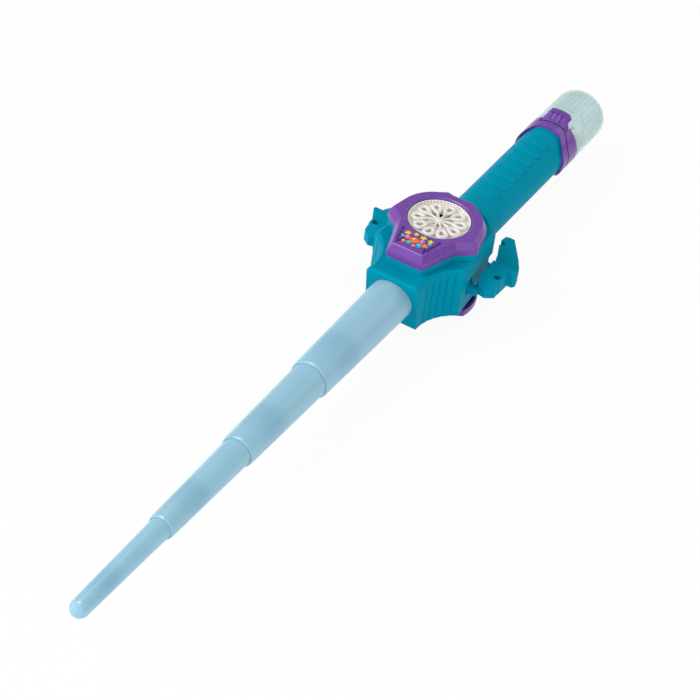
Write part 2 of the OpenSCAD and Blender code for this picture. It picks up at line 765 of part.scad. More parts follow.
module top_cover() color(purple) lift() {
    slot_near = [11.7, -41.3];
    slot_far = [15.1, -24.8];
    slot_w = 2.2;
    slot_depth = cover_wall - 0.7;
    opening_r = dish_r + 0.3;
    opening_bevel = 1.2;
    post_rise = 4;
    post_bore = 8;
    slot = slot_far - slot_near;
    inner = inset(cover_plain, cover_wall);
    difference() {
        union() {
            difference() {
                union() {
                    prism(cover_plan, cover_z, cover_z + skirt_height);
                    loft(cover_plan, cover_z + skirt_height, inset(cover_plan, bevel_width), cover_top, true);
                }
                prism(inner, cover_z - overcut, cover_z + skirt_height - 0.5);
                loft(inner, cover_z + skirt_height - 0.5, inset(inner, bevel_width), cover_under);
                translate([0, 0, cover_z]) cylinder(h = big, r = opening_r);
                translate([0, 0, cover_top - opening_bevel])
                    cylinder(h = opening_bevel + overcut, r1 = opening_r, r2 = opening_r + opening_bevel + overcut);
                mirrored_x() translate([slot_near[0], slot_near[1], cover_top - slot_depth])
                    rotate([0, 0, atan2(slot[1], slot[0])]) translate([0, -slot_w / 2, 0])
                        cube([norm(slot), slot_w, slot_depth + overcut]);
            }
            for (p = cover_posts) mirrored_x() translate([p[0], p[1], deck_height])
                cylinder(h = cover_z - deck_height + skirt_height + post_rise, r = post_r);
        }
        for (p = cover_posts) mirrored_x() translate([p[0], p[1], deck_height - overcut])
            cylinder(h = post_bore + overcut, r = screw_r + running_gap);
    }
}

module bubble_dish() color(white_plastic) lift() {
    rim_z = cover_top - 1.4;
    flange = 3;
    slot_inner = 5;
    slot_outer = 12;
    slot_half = 7;
    difference() {
        union() {
            translate([0, 0, dish_floor_z]) cylinder(h = rim_z - dish_floor_z, r = dish_r);
            translate([0, 0, cover_under - 1.6]) cylinder(h = 1.6, r = dish_r + flange);
            translate([0, 0, gear_high_z + gear_width + part_gap])
                cylinder(h = dish_floor_top - gear_high_z - gear_width - part_gap, r = axle_r + 1.6);
        }
        translate([0, 0, dish_floor_top]) cylinder(h = big, r1 = dish_r - dish_wall - 0.6, r2 = dish_r - dish_wall + 20);
        translate([0, 0, gear_high_z]) cylinder(h = big, r = axle_r + running_gap);
        for (a = [66, 90, 114]) prism([for (q = [[slot_inner, -slot_half], [slot_outer, -slot_half],
            [slot_outer, slot_half], [slot_inner, slot_half]]) q[0] * [cos(a + q[1]), sin(a + q[1])]],
            dish_floor_z - overcut, dish_floor_top + overcut);
        translate([-13.5, 12.5, dish_floor_z - overcut]) cylinder(h = dish_floor_thick + 2 * overcut, r = feed_r - 0.5);
    }
}

// Teardrop outline that points at the hub
function teardrop(r, ring, tip) = let (d = ring - tip, a = acos(r / d))
    concat([[tip, 0]], arc(ring, 0, r, a - 180, 180 - a, 14));

module bubble_wheel() color(white_plastic) lift() {
    hub_r = 3.2;
    hub_rise = 0.6;
    tip_outer = 7.2;
    tip_inner = tip_outer + 2.6;
    spoke_w = 1.3;
    difference() {
        union() {
            translate([0, 0, wheel_z]) cylinder(h = wheel_thick + hub_rise, r = hub_r);
            for (i = [0 : loop_count - 1]) rotate([0, 0, 90 + 360 * i / loop_count]) {
                difference() {
                    prism(teardrop(loop_r, loop_ring, tip_outer), wheel_z, wheel_z + wheel_thick);
                    prism(teardrop(loop_r - loop_rib, loop_ring, tip_inner), wheel_z - overcut,
                          wheel_z + wheel_thick + overcut);
                }
                span([hub_r - 0.5, -spoke_w / 2, wheel_z], [tip_outer + 1, spoke_w / 2, wheel_z + wheel_thick]);
            }
        }
        translate([0, 0, wheel_z - overcut]) cylinder(h = overcut + wheel_thick - 0.4, r = axle_r + fixed_gap);
    }
}

module wheel_axle() color(steel) lift()
    translate([0, 0, deck_under + 0.4]) cylinder(h = wheel_z + wheel_thick - 0.5 - deck_under - 0.4, r = axle_r);

module wheel_gear() color(white_plastic) lift() difference() {
    gear(wheel_teeth, reduction_dir, gear_high_z, gear_width);
    translate([0, 0, gear_high_z - overcut]) cylinder(h = gear_width + 2 * overcut, r = axle_r + fixed_gap);
}

module reduction_gear() color(brass) lift() translate([reduction_x, reduction_y, 0]) difference() {
    union() {
        gear(large_teeth, motor_dir, gear_low_z, gear_width);
        gear(small_teeth, reduction_dir + 180 + 180 / small_teeth, gear_low_z + gear_width, gear_width + part_gap);
    }
    translate([0, 0, gear_low_z - overcut]) cylinder(h = big, r = gear_axle_r + running_gap);
}

module reduction_axle() color(steel) lift() translate([reduction_x, reduction_y, deck_under])
    cylinder(h = gear_high_z + gear_width + 0.3 - deck_under, r = gear_axle_r);

module motor() color(steel) lift() translate([0, motor_y, 0]) difference() {
    union() {
        intersection() {
            translate([0, 0, fan_top]) cylinder(h = deck_under - 1.5 - fan_top, r = motor_r);
            span([-0.76 * motor_r, -big, -big], [0.76 * motor_r, big, big]);
        }
        translate([0, 0, fan_top]) cylinder(h = deck_under - fan_top, r = 4.2);
    }
    translate([0, 0, fan_top - overcut]) cylinder(h = big, r = shaft_r + running_gap);
}

module motor_shaft() color(steel) lift() translate([0, motor_y, 0]) {
    translate([0, 0, floor_top + fan_wall + 1.4]) cylinder(h = gear_low_z + gear_width + 1 - floor_top - fan_wall - 1.4, r = shaft_r);
    gear(pinion_teeth, motor_dir + 180 + 180 / pinion_teeth, gear_low_z, gear_width + 0.6);
}

module fan_impeller() color(white_plastic) lift() translate([0, motor_y, 0]) {
    low = floor_top + fan_wall + 1;
    high = fan_top - fan_wall - 1;
    plate = 1.2;
    hub = 3;
    blade_r = 9;
    blade_t = 0.9;
    difference() {
        union() {
            translate([0, 0, high - plate]) cylinder(h = plate, r = impeller_r);
            translate([0, 0, low + 0.5]) cylinder(h = high - low - 0.5, r = hub);
            intersection() {
                translate([0, 0, low]) ring(impeller_r, hub + 2, high - low);
                union() for (i = [0 : impeller_blades - 1]) rotate([0, 0, 360 * i / impeller_blades])
                    translate([impeller_r / 2 + 2, blade_r - 2, low]) ring(blade_r, blade_r - blade_t, high - low);
            }
        }
        translate([0, 0, low - overcut]) cylinder(h = big, r = shaft_r + fixed_gap);
    }
}

module fan_housing() color(dark) lift() difference() {
    union() {
        translate([0, motor_y, floor_top]) cylinder(h = fan_top - floor_top, r = fan_r);
        span([-duct_half, motor_y, floor_top], [duct_half, duct_rear, duct_low]);
    }
    translate([0, motor_y, floor_top + fan_wall]) cylinder(h = fan_top - floor_top - 2 * fan_wall, r = fan_r - fan_wall);
    span([fan_wall - duct_half, motor_y, floor_top + fan_wall],
         [duct_half - fan_wall, duct_rear - fan_wall, duct_low - fan_wall]);
    span([fan_wall - duct_half, duct_front + fan_wall, duct_low - 2 * fan_wall],
         [duct_half - fan_wall, duct_rear - fan_wall, duct_low + overcut]);
    translate([0, motor_y, floor_top - overcut]) cylinder(h = fan_wall + 2 * overcut, r = 8);
    translate([0, motor_y, floor_top]) cylinder(h = big, r = shaft_r + part_gap);
}

module air_duct() color(dark) lift() difference() {
    union() {
        span([-duct_half, duct_front, duct_low], [duct_half, duct_rear, dish_floor_z]);
        span([-duct_half, plenum_front, plenum_z], [duct_half, duct_rear, dish_floor_z]);
    }
    span([fan_wall - duct_half, duct_front + fan_wall, duct_low - overcut],
         [duct_half - fan_wall, duct_rear - fan_wall, dish_floor_z + overcut]);
    span([fan_wall - duct_half, plenum_front + fan_wall, plenum_z + fan_wall - 0.2],
         [duct_half - fan_wall, duct_rear - fan_wall, dish_floor_z + overcut]);
}

module pump_rotor() color(white_plastic) lift() translate([pump_x, 0, 0]) {
    low = pump_low + pump_floor + 0.4;
    disc = 0.8;
    difference() {
        union() {
            gear(pump_teeth, pump_turn, gear_high_z, gear_width);
            translate([0, 0, low]) cylinder(h = gear_high_z + gear_width / 2 - low, r = gear_axle_r + 1.4);
            translate([0, 0, low]) cylinder(h = disc, r = roller_ring + roller_r + 0.4);
            for (i = [0 : 2]) rotate([0, 0, 120 * i]) translate([roller_ring, 0, low])
                cylinder(h = deck_under - low - 1, r = roller_r);
        }
        translate([0, 0, low - overcut]) cylinder(h = big, r = gear_axle_r + running_gap);
    }
}

module pump_axle() color(steel) lift() translate([pump_x, 0, pump_low])
    cylinder(h = gear_high_z + gear_width + 0.3 - pump_low, r = gear_axle_r);

module pump_housing() color(dark) lift() translate([pump_x, 0, 0]) difference() {
    translate([0, 0, pump_low]) cylinder(h = deck_under - pump_low, r = pump_r);
    translate([0, 0, pump_low + pump_floor]) cylinder(h = big, r = pump_track_r + feed_r + 0.15);
    translate([0, 0, pump_low - overcut]) cylinder(h = big, r = gear_axle_r + fixed_gap);
    span([-big, 0, pump_mid - feed_r - 0.3], [big, big, big]);
}

feed_route = route_smooth(concat(
    [[0, collar_rear + 39, dip_z - 6], [0, collar_rear + 20, dip_z - 3.5], [0, plug_rear + 3, dip_z],
     [0, plug_y - 1, dip_z], [0, plug_y - 14, dip_z + 3], [0, holder_rear + 10, 8.2], [0, holder_rear - 5, 8.6],
     [0, holder_y - 5, 8.6], [0, 60, 8.6], [0, 44, 8.2], [-2.5, 36, 8.6], [-9, 28.5, 11.4],
     [pump_x + pump_track_r, 22, 13.6], [pump_x + pump_track_r, 10, pump_mid]],
    [for (i = [0 : 6]) [pump_x + pump_track_r * cos(30 * i), -pump_track_r * sin(30 * i), pump_mid]],
    [[pump_x - pump_track_r, 7, pump_mid], [-26.4, 12.5, 15.8], [-22.6, 16, 19.4], [-19.4, 16.2, 23],
     [-15, 13.6, 26.4], [-13.6, 12.6, dish_floor_z]]), 3);

module feed_tube() color(clear_teal) lift() swept_tube(feed_route, feed_r, feed_r - 0.7, 8);

module squeeze_trigger() color(purple) lift() {
    low = -axis_height;
    post_r = 2.8;
    difference() {
        union() {
            difference() {
                union() {
                    loft(inset(trigger_plan, trigger_bevel), low, trigger_plan, low + trigger_bevel);
                    prism(trigger_plan, low + trigger_bevel, trigger_rim);
                }
                prism(inset(trigger_plan, trigger_wall), trigger_floor, trigger_rim + overcut);
            }
            translate([-barrel_half, hinge_y, hinge_z]) rotate([0, 90, 0]) cylinder(h = 2 * barrel_half, r = barrel_r);
            span([-barrel_half, hinge_y - barrel_r, low + overcut], [barrel_half, hinge_y + barrel_r, hinge_z]);
            translate([switch_x, switch_y, low + overcut])
                cylinder(h = button_low - part_gap - low - overcut, r = post_r);
        }
        translate([-big, hinge_y, hinge_z]) rotate([0, 90, 0]) cylinder(h = 2 * big, r = trigger_pin_r + running_gap);
    }
}

module trigger_pin() color(steel) lift() translate([-lug_x - lug_width, hinge_y, hinge_z]) rotate([0, 90, 0])
    cylinder(h = 2 * (lug_x + lug_width), r = trigger_pin_r);

module trigger_spring() color(steel) lift() translate([0, spring_y, trigger_floor])
    coil_spring(4, 0.4, -hilt_depth - trigger_floor, 5);

module power_switch() color(dark) lift() difference() {
    span([switch_x - 4, switch_y - 6, floor_top], [switch_x + 4, switch_y + 6, floor_top + 7.8]);
    translate([switch_x, switch_y, floor_top - overcut]) cylinder(h = 7, r = button_r + 0.1);
}

module switch_button() color(white_plastic) lift() translate([switch_x, switch_y, button_low])
    cylinder(h = button_len, r = button_r);

// Side of the wing: a thick front part with a sloping facet, then a scoop down to the rear fin
module wing_side() {
    reach = 80;
    facet_y = 0.3;
    facet_drop = 0.5;
    scoop_y = 18;
    facet_z = wing_top - facet_drop;
    rotate([90, 0, 90]) linear_extrude(height = reach) polygon(concat(
        [[-reach / 4, wing_low], [reach, wing_low], [reach, fin_top]],
        arc(scoop_y + scoop_r, fin_top + scoop_r, scoop_r, 270, 180, arc_steps),
        [[scoop_y, wing_top], [facet_y, facet_z],
         [-reach / 4, facet_z - (reach / 4 + facet_y) * tan(wing_front_slope)]]));
}

// Right wing; the left one is its mirror image
module wing() {
    notch_at = [31.2, 47.3];
    notch_r = 2.7;
    hole_at = [50.6, 2.5];
    slot_at = [54.5, -1.6];
    arm_end = 43;
    difference() {
        union() {
            intersection() {
                prism(wing_plan, wing_low, wing_top);
                wing_side();
            }
            translate([wing_pin_x, wing_pin_y, knuckle_low]) cylinder(h = knuckle_top - knuckle_low, r = knuckle_r);
            span([wing_pin_x, wing_pin_y - 2.6, knuckle_low], [arm_end, wing_pin_y + 2.8, knuckle_top - 3.4]);
        }
        translate([wing_pin_x, wing_pin_y, -big / 2]) cylinder(h = big, r = wing_pin_r + running_gap);
        translate([hole_at[0] - wing_hole / 2, hole_at[1] - wing_hole / 2, -big / 2]) cube([wing_hole, wing_hole, big]);
        translate([notch_at[0], notch_at[1], -big / 2]) cylinder(h = big, r = notch_r);
        translate([slot_at[0] - 0.8, slot_at[1] - 0.7, -big / 2]) cube([2, 1.4, big]);
    }
}

module right_wing() color(teal) lift() wing();

module left_wing() color(teal) lift() mirror([1, 0, 0]) wing();

module wing_pins() color(steel) lift() mirrored_x() translate([wing_pin_x, wing_pin_y, wing_pin_low + 0.2])
    cylinder(h = wing_pin_top - wing_pin_low - 0.4, r = wing_pin_r);

module door_box(gap) {
    span([-door_half + gap, door_front + gap, -big], [door_half - gap, door_rear - gap, grip_z - 8]);
}

module grip_sleeve() color(teal) lift() {
    difference() {
        union() {
            to_pommel(grip_front) ring(grip_r, grip_bore, grip_len);
            for (i = [0 : band_count - 1]) to_pommel(band_first + band_pitch * i)
                rotate([0, 0, -90 - band_angle / 2]) rotate_extrude(angle = band_angle)
                    polygon([[grip_r - overcut, 0], [grip_r, 0], [grip_r + band_height, band_height],
                             [grip_r + band_height, band_width - band_height], [grip_r, band_width],
                             [grip_r - overcut, band_width]]);
        }
        door_box(0);
    }
}

module battery_door() color(teal) lift() difference() {
    intersection() {
        to_pommel(grip_front) ring(grip_r, grip_bore, grip_len);
        door_box(door_gap);
    }
    translate([0, door_screw_y, -big / 2]) cylinder(h = big / 2, r = screw_r + part_gap);
    translate([0, door_screw_y, grip_z - grip_r - overcut]) cylinder(h = overcut + 1.2, r = screw_head_r + part_gap);
}

module battery_door_screw() color(steel) lift() translate([0, door_screw_y, grip_z - grip_r + 0.1]) {
    cylinder(h = 1.1, r = screw_head_r);
    cylinder(h = 9, r = screw_r);
}

function cell_place(i) = cell_ring * [cos(30 + 120 * i), sin(30 + 120 * i)];

module battery_holder() color(dark) lift() difference() {
    union() {
        to_pommel(holder_y) cylinder(h = holder_plate, r = grip_bore - running_gap);
        to_pommel(holder_rear) cylinder(h = holder_plate, r = grip_bore - running_gap);
        to_pommel(holder_y) cylinder(h = holder_rear - holder_y, r = 1.1);
    }
    span([-feed_r - 0.3, 0, 8.6 - feed_r - 0.3], [feed_r + 0.3, big, big]);
    translate([0, door_screw_y, -big / 2]) cylinder(h = big / 2 + grip_z - grip_r + 10, r = screw_r + fixed_gap);
}

module battery_cells() color(brass) lift() for (i = [0 : 2])
    translate([cell_place(i)[0], cell_y, grip_z + cell_place(i)[1]]) rotate([-90, 0, 0]) {
        cylinder(h = cell_len, r = cell_r);
        cylinder(h = cell_len + cell_nub, r = 2.7);
    }

module battery_contacts() color(steel) lift() for (i = [0 : 2])
    for (y = [holder_y + holder_plate, holder_rear - contact_thick])
        translate([cell_place(i)[0], y, grip_z + cell_place(i)[1]]) rotate([-90, 0, 0])
            cylinder(h = contact_thick, r = 5);

// Everything ahead of a line round the collar that points forward at both sides
module ahead_of(y) {
    span([-big, 0, -big], [big, y, big]);
    prism([[-arch_foot_half, y - overcut], [arch_foot_half, y - overcut], [arch_foot_half, y],
           [arch_top_half, y + arch_step], [-arch_top_half, y + arch_step], [-arch_foot_half, y]], -big, big);
}

module pommel_collar() color(purple) lift() {
    edge = 1;
    groove_y = collar_front + 7.2;
    groove_w = 1.3;
    groove_d = 0.7;
    difference() {
        to_pommel(collar_front) rotate_extrude() polygon([[collar_inner, 0], [collar_r, 0],
            [collar_r, collar_len - edge], [collar_r - edge, collar_len], [collar_inner, collar_len]]);
        to_pommel(collar_front - overcut) cylinder(h = grip_rear - collar_front + overcut + 0.2, r = collar_bore);
        ahead_of(collar_front);
        difference() {
            ahead_of(groove_y + groove_w);
            ahead_of(groove_y);
            to_pommel(0) cylinder(h = big + big, r = collar_r - groove_d);
        }
        difference() {
            span([-catch_half - catch_gap, catch_front - catch_gap, 0], [catch_half + catch_gap, big + big, big]);
            to_pommel(0) cylinder(h = big + big, r = catch_room_r);
        }
        span([-leg_half - catch_gap, leg_front - catch_gap, 0], [leg_half + catch_gap, leg_rear + catch_gap, big]);
    }
    intersection() {
        to_pommel(plug_y + plug_disc + 0.2) cylinder(h = collar_rear - plug_y - plug_disc - 0.2, r = collar_inner + 0.5);
        span([-big, 0, shelf_z], [big, big, shelf_z + shelf_thick]);
    }
}

// Catch with an arched cap that reaches over the bottle, and a leg that goes down through the collar
module catch_button() color(purple) lift() {
    slots = 3;
    slot_w = 0.9;
    slot_d = 0.9;
    slot_pitch = 4;
    slot_rear = collar_rear + 1.8;
    slope_run = 5.5;
    side_low = 12;
    side_high = catch_r - 1.6;
    flange_x = leg_half + 2;
    slope = [[catch_seat_r, catch_front], [catch_r, catch_front + slope_run], [catch_r, catch_rear]];
    sides = [[catch_half, side_low], [catch_half, catch_seat_r - 4.4], [catch_top_half, side_high],
             [catch_top_half, catch_r + overcut]];
    difference() {
        union() {
            intersection() {
                to_pommel(0) rotate_extrude() polygon(concat(slope, [[catch_under_r, catch_rear],
                    [catch_under_r, collar_rear], [catch_seat_r, collar_rear]]));
                translate([0, catch_rear + overcut, grip_z]) rotate([90, 0, 0])
                    linear_extrude(height = catch_rear - catch_front + 2 * overcut) polygon(both_sides(sides));
            }
            span([-leg_half, leg_front, catch_low], [leg_half, leg_rear, grip_z + catch_seat_r + overcut]);
            span([-flange_x, leg_front, catch_low], [flange_x, leg_rear, catch_low + catch_flange]);
        }
        for (i = [0 : slots - 1]) difference() {
            span([slot_pitch * (i - 1) - slot_w / 2, catch_front + overcut, 0],
                 [slot_pitch * (i - 1) + slot_w / 2, slot_rear, big]);
            to_pommel(0) rotate_extrude() polygon(concat([for (p = slope) [p[0] - slot_d, p[1]]],
                [[0, catch_rear], [0, catch_front]]));
        }
        translate([0, leg_mid, catch_low - overcut]) cylinder(h = catch_pocket_top - catch_low + overcut, r = catch_pocket_r);
    }
}

module catch_spring() color(steel) lift() translate([0, leg_mid, shelf_z + shelf_thick])
    coil_spring(1, 0.25, catch_pocket_top - shelf_z - shelf_thick, 6);

module bottle_plug() color(white_plastic) lift() difference() {
    union() {
        to_pommel(plug_y) cylinder(h = plug_disc, r = collar_inner - fixed_gap);
        to_pommel(plug_y) cylinder(h = plug_rear - plug_y, r = spout_r);
    }
    to_pommel(seal_y - 1.2) ring(spout_r + overcut, seal_ring_r - seal_r - fixed_gap, 2.4);
    to_pommel(plug_y - overcut, dip_z) cylinder(h = big, r = feed_r + 0.15);
}

module bottle_seal() color(dark) lift() to_pommel(seal_y) rotate_extrude() translate([seal_ring_r, 0]) circle(r = seal_r);

module bottle() color(clear_teal, 0.6) lift() {
    bore = seal_ring_r + seal_r + 0.1;
    start = collar_rear + 0.4;
    neck_len = start - (plug_y + plug_disc + 1.2);
    shoulder = 1;
    bead = 14.8;
    throat = 6;
    bead_step = 0.5;
    round_r = 8;
    body_r = bottle_r - bead_step;
    inner_r = body_r - bottle_wall;
    end = bottle_len - 0.4;
    flute_r = 3;
    flute_depth = 0.5;
    flute_start = shoulder + bead + 1.2;
    flute_len = end - round_r - flute_start - 1;
    difference() {
        to_pommel(start) rotate_extrude() polygon(concat(
            [[bore, -neck_len], [neck_r, -neck_len], [neck_r, 0], [bottle_r - shoulder, 0], [bottle_r, shoulder],
             [bottle_r, shoulder + bead], [body_r, shoulder + bead + bead_step]],
            arc(body_r - round_r, end - round_r, round_r, 0, 90, arc_steps),
            [[0, end], [0, end - bottle_wall]],
            arc(inner_r - round_r + bottle_wall, end - round_r, round_r - bottle_wall, 90, 0, arc_steps),
            [[inner_r, throat], [bore, bottle_wall]]));
        for (i = [0 : flute_count - 1]) to_pommel(start + flute_start) rotate([0, 0, 360 * (i + 0.5) / flute_count])
            translate([body_r + flute_r - flute_depth, 0, 0]) cylinder(h = flute_len, r = flute_r);
    }
}

module screw(length) {
    cylinder(h = screw_head, r = screw_head_r);
    cylinder(h = screw_head + length, r = screw_r);
}

module cover_screws() color(steel) lift() for (p = cover_posts) mirrored_x()
    translate([p[0], p[1], deck_under - screw_head]) screw(hilt_wall + 6);

module housing_screws() color(steel) lift() for (p = housing_posts) mirrored_x()
    translate([p[0], p[1], 0.3 - hilt_depth]) screw(hilt_depth + 7);

blade_base_tube();
blade_second_tube();
blade_third_tube();
blade_tip_tube();
hilt_upper_shell();
hilt_lower_shell();
top_cover();
bubble_dish();
bubble_wheel();
wheel_axle();
wheel_gear();
reduction_gear();
reduction_axle();
motor();
motor_shaft();
fan_impeller();
fan_housing();
air_duct();
pump_rotor();
pump_axle();
pump_housing();
feed_tube();
squeeze_trigger();
trigger_pin();
trigger_spring();
power_switch();
switch_button();
left_wing();
right_wing();
wing_pins();
grip_sleeve();
battery_holder();
battery_cells();
battery_contacts();
battery_door();
battery_door_screw();
pommel_collar();
catch_button();
catch_spring();
bottle_plug();
bottle_seal();
bottle();
cover_screws();
housing_screws();
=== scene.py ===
"""Looks of a telescoping bubble wand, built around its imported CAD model.

Sizes are in millimetres until a mesh is made; the blade axis runs along Y with the tip towards -Y.
"""
import json
import math

import bmesh
import bpy
import numpy as np
from mathutils import Matrix, Vector

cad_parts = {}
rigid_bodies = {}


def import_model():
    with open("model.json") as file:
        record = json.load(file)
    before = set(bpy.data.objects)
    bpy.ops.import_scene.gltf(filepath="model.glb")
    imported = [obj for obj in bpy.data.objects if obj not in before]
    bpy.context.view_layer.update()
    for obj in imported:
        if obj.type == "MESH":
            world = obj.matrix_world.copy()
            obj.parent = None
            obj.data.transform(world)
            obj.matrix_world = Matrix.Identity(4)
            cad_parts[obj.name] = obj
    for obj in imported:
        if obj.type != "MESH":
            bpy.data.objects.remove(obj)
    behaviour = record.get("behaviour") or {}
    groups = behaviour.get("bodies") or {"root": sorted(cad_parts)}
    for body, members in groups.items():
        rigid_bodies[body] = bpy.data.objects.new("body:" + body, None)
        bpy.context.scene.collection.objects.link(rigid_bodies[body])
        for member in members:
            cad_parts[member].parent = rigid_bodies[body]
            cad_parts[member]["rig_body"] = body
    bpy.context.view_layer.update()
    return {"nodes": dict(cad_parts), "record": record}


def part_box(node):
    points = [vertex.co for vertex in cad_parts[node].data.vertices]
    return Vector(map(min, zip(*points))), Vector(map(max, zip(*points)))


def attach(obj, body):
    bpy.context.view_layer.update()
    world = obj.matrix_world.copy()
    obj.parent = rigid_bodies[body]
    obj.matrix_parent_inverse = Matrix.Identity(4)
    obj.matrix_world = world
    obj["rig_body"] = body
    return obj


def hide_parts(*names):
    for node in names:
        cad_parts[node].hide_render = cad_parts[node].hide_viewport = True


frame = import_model()
scene = bpy.context.scene
scene.view_settings.view_transform = "Standard"

MM = 0.001
BLADE_Z = sum(corner.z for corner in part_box("blade_second_tube")) / 2 / MM
GRIP_Z = BLADE_Z - 3.0

# Sizes that the solids' boxes don't give
TUBE_TAPER, TUBE_WALL, TIP_DOME_Y, BASE_REAR_R = 0.031, 1.2, -441.7, 16.89
GRIP_R, GRIP_WALL, DOOR_GAP = 19.0, 2.0, 0.25
BAND_W, BAND_REACH, BAND_H, BAND_FIRST, BAND_PITCH, BAND_COUNT = 8.0, 11.3, 0.8, 72.0, 13.0, 7
BOTTLE_NECK, RIB_COUNT = 7.8, 40
LOOP_COUNT, LOOP_TIP, LOOP_END, LOOP_HALF, WIRE_HALF = 10, 9.8, 19.05, 3.15, 1.5
WHEEL_THICK, HUB_R, HUB_RISE, DISH_R = 2.2, 3.2, 0.6, 23.0
COVER_TOP, PRINT_DEPTH = BLADE_Z + 35.9, 0.2
HOLE_X, HOLE_Y, HOLE_HALF = 50.6, 2.5, 2.25
HOLE_FLOOR_LOW, HOLE_FLOOR_TOP = 31.0, 34.0

# Widths of the rounded edges on the moulded parts
EDGE_WIDTH = {"hilt_upper_shell": 0.5, "hilt_lower_shell": 0.5, "left_wing": 0.5, "right_wing": 0.5,
              "squeeze_trigger": 0.9, "pommel_collar": 0.9, "catch_button": 0.25}
EDGE_STEPS, EDGE_FROM_DEG = 3, 15.0

# Stops along each edge of the cover's outline and points in each of its bends
EDGE_STOPS = np.array([0.06, 0.14, 0.14, 0.33, 0.53, 0.72, 0.72, 0.86])
BEND_STEPS = 5

# Levels of the light
WORLD_LEVEL, FLOOR_GLOW = 0.47, 0.93


# Camera, fitted to the photograph

def place_camera():
    """Camera on a sphere round the wheel: turned by the azimuth, raised by the elevation, then rolled."""
    focal_px, frame_px = 2800.0, 700.0
    azimuth, elevation, roll = (math.radians(a) for a in (25.31, 39.68, 8.51))
    distance, shift_right, shift_up = 1998.5, 62.65, 86.07
    target = Vector((0.0, 0.0, BLADE_Z + 25.21))
    back = Vector((math.sin(azimuth) * math.cos(elevation), -math.cos(azimuth) * math.cos(elevation),
                   math.sin(elevation)))
    right = Vector((math.cos(azimuth), math.sin(azimuth), 0.0))
    up = back.cross(right)
    rolled_right = right * math.cos(roll) + up * math.sin(roll)
    rolled_up = up * math.cos(roll) - right * math.sin(roll)
    centre = target + back * distance - rolled_right * shift_right - rolled_up * shift_up
    data = bpy.data.cameras.new("camera")
    data.sensor_width = 36.0
    data.lens = focal_px / frame_px * data.sensor_width
    data.clip_end = 50.0
    camera = bpy.data.objects.new("camera", data)
    turn = Matrix((rolled_right, rolled_up, back)).transposed().to_4x4()
    camera.matrix_world = Matrix.Translation(centre * MM) @ turn
    scene.collection.objects.link(camera)
    scene.camera = camera


# Node helpers

def new_material(name):
    """Material with one Principled shader, and handles to its node tree and shader."""
    material = bpy.data.materials.new(name)
    material.use_nodes = True
    tree = material.node_tree
    return material, tree, tree.nodes["Principled BSDF"]


def linear(hex_colour):
    """Linear RGBA of an sRGB hex colour."""
    parts = np.array([int(hex_colour[i:i + 2], 16) / 255 for i in (1, 3, 5)])
    low = parts / 12.92
    high = ((parts + 0.055) / 1.055) ** 2.4
    return (*np.where(parts <= 0.04045, low, high).tolist(), 1.0)


def moulded_group():
    """Shared effect of moulded plastic: cloudy pigment, fine spark-eroded grain and uneven gloss."""
    group = bpy.data.node_groups.new("moulded_plastic", "ShaderNodeTree")
    number, colour = "NodeSocketFloat", "NodeSocketColor"
    for name, kind, value in (("Pigment", colour, (1, 1, 1, 1)), ("Cloud", number, 0.06),
                              ("Gloss", number, 0.35), ("Gloss Change", number, 0.08),
                              ("Grain Size", number, 3500.0)):
        group.interface.new_socket(name, in_out="INPUT", socket_type=kind).default_value = value
    for name, kind in (("Color", colour), ("Roughness", number), ("Height", number)):
        group.interface.new_socket(name, in_out="OUTPUT", socket_type=kind)
    nodes, links = group.nodes, group.links
    given = nodes.new("NodeGroupInput")
    result = nodes.new("NodeGroupOutput")
    place = nodes.new("ShaderNodeTexCoord")
    cloud = nodes.new("ShaderNodeTexNoise")
    cloud.inputs["Scale"].default_value = 45.0
    cloud.inputs["Detail"].default_value = 3.0
    grain = nodes.new("ShaderNodeTexNoise")
    grain.inputs["Detail"].default_value = 2.0
    links.new(place.outputs["Object"], cloud.inputs["Vector"])
    links.new(place.outputs["Object"], grain.inputs["Vector"])
    links.new(given.outputs["Grain Size"], grain.inputs["Scale"])
    level = nodes.new("ShaderNodeMath")
    level.operation = "SUBTRACT"
    level.inputs[1].default_value = 0.5
    links.new(cloud.outputs["Fac"], level.inputs[0])
    strength = nodes.new("ShaderNodeMath")
    strength.operation = "MULTIPLY_ADD"
    strength.inputs[2].default_value = 1.0
    links.new(level.outputs[0], strength.inputs[0])
    links.new(given.outputs["Cloud"], strength.inputs[1])
    tint = nodes.new("ShaderNodeVectorMath")
    tint.operation = "SCALE"
    links.new(given.outputs["Pigment"], tint.inputs[0])
    links.new(strength.outputs[0], tint.inputs["Scale"])
    links.new(tint.outputs[0], result.inputs["Color"])
    uneven = nodes.new("ShaderNodeMath")
    uneven.operation = "MULTIPLY_ADD"
    links.new(level.outputs[0], uneven.inputs[0])
    links.new(given.outputs["Gloss Change"], uneven.inputs[1])
    links.new(given.outputs["Gloss"], uneven.inputs[2])
    links.new(uneven.outputs[0], result.inputs["Roughness"])
    links.new(grain.outputs["Fac"], result.inputs["Height"])
    return group


moulded = moulded_group()


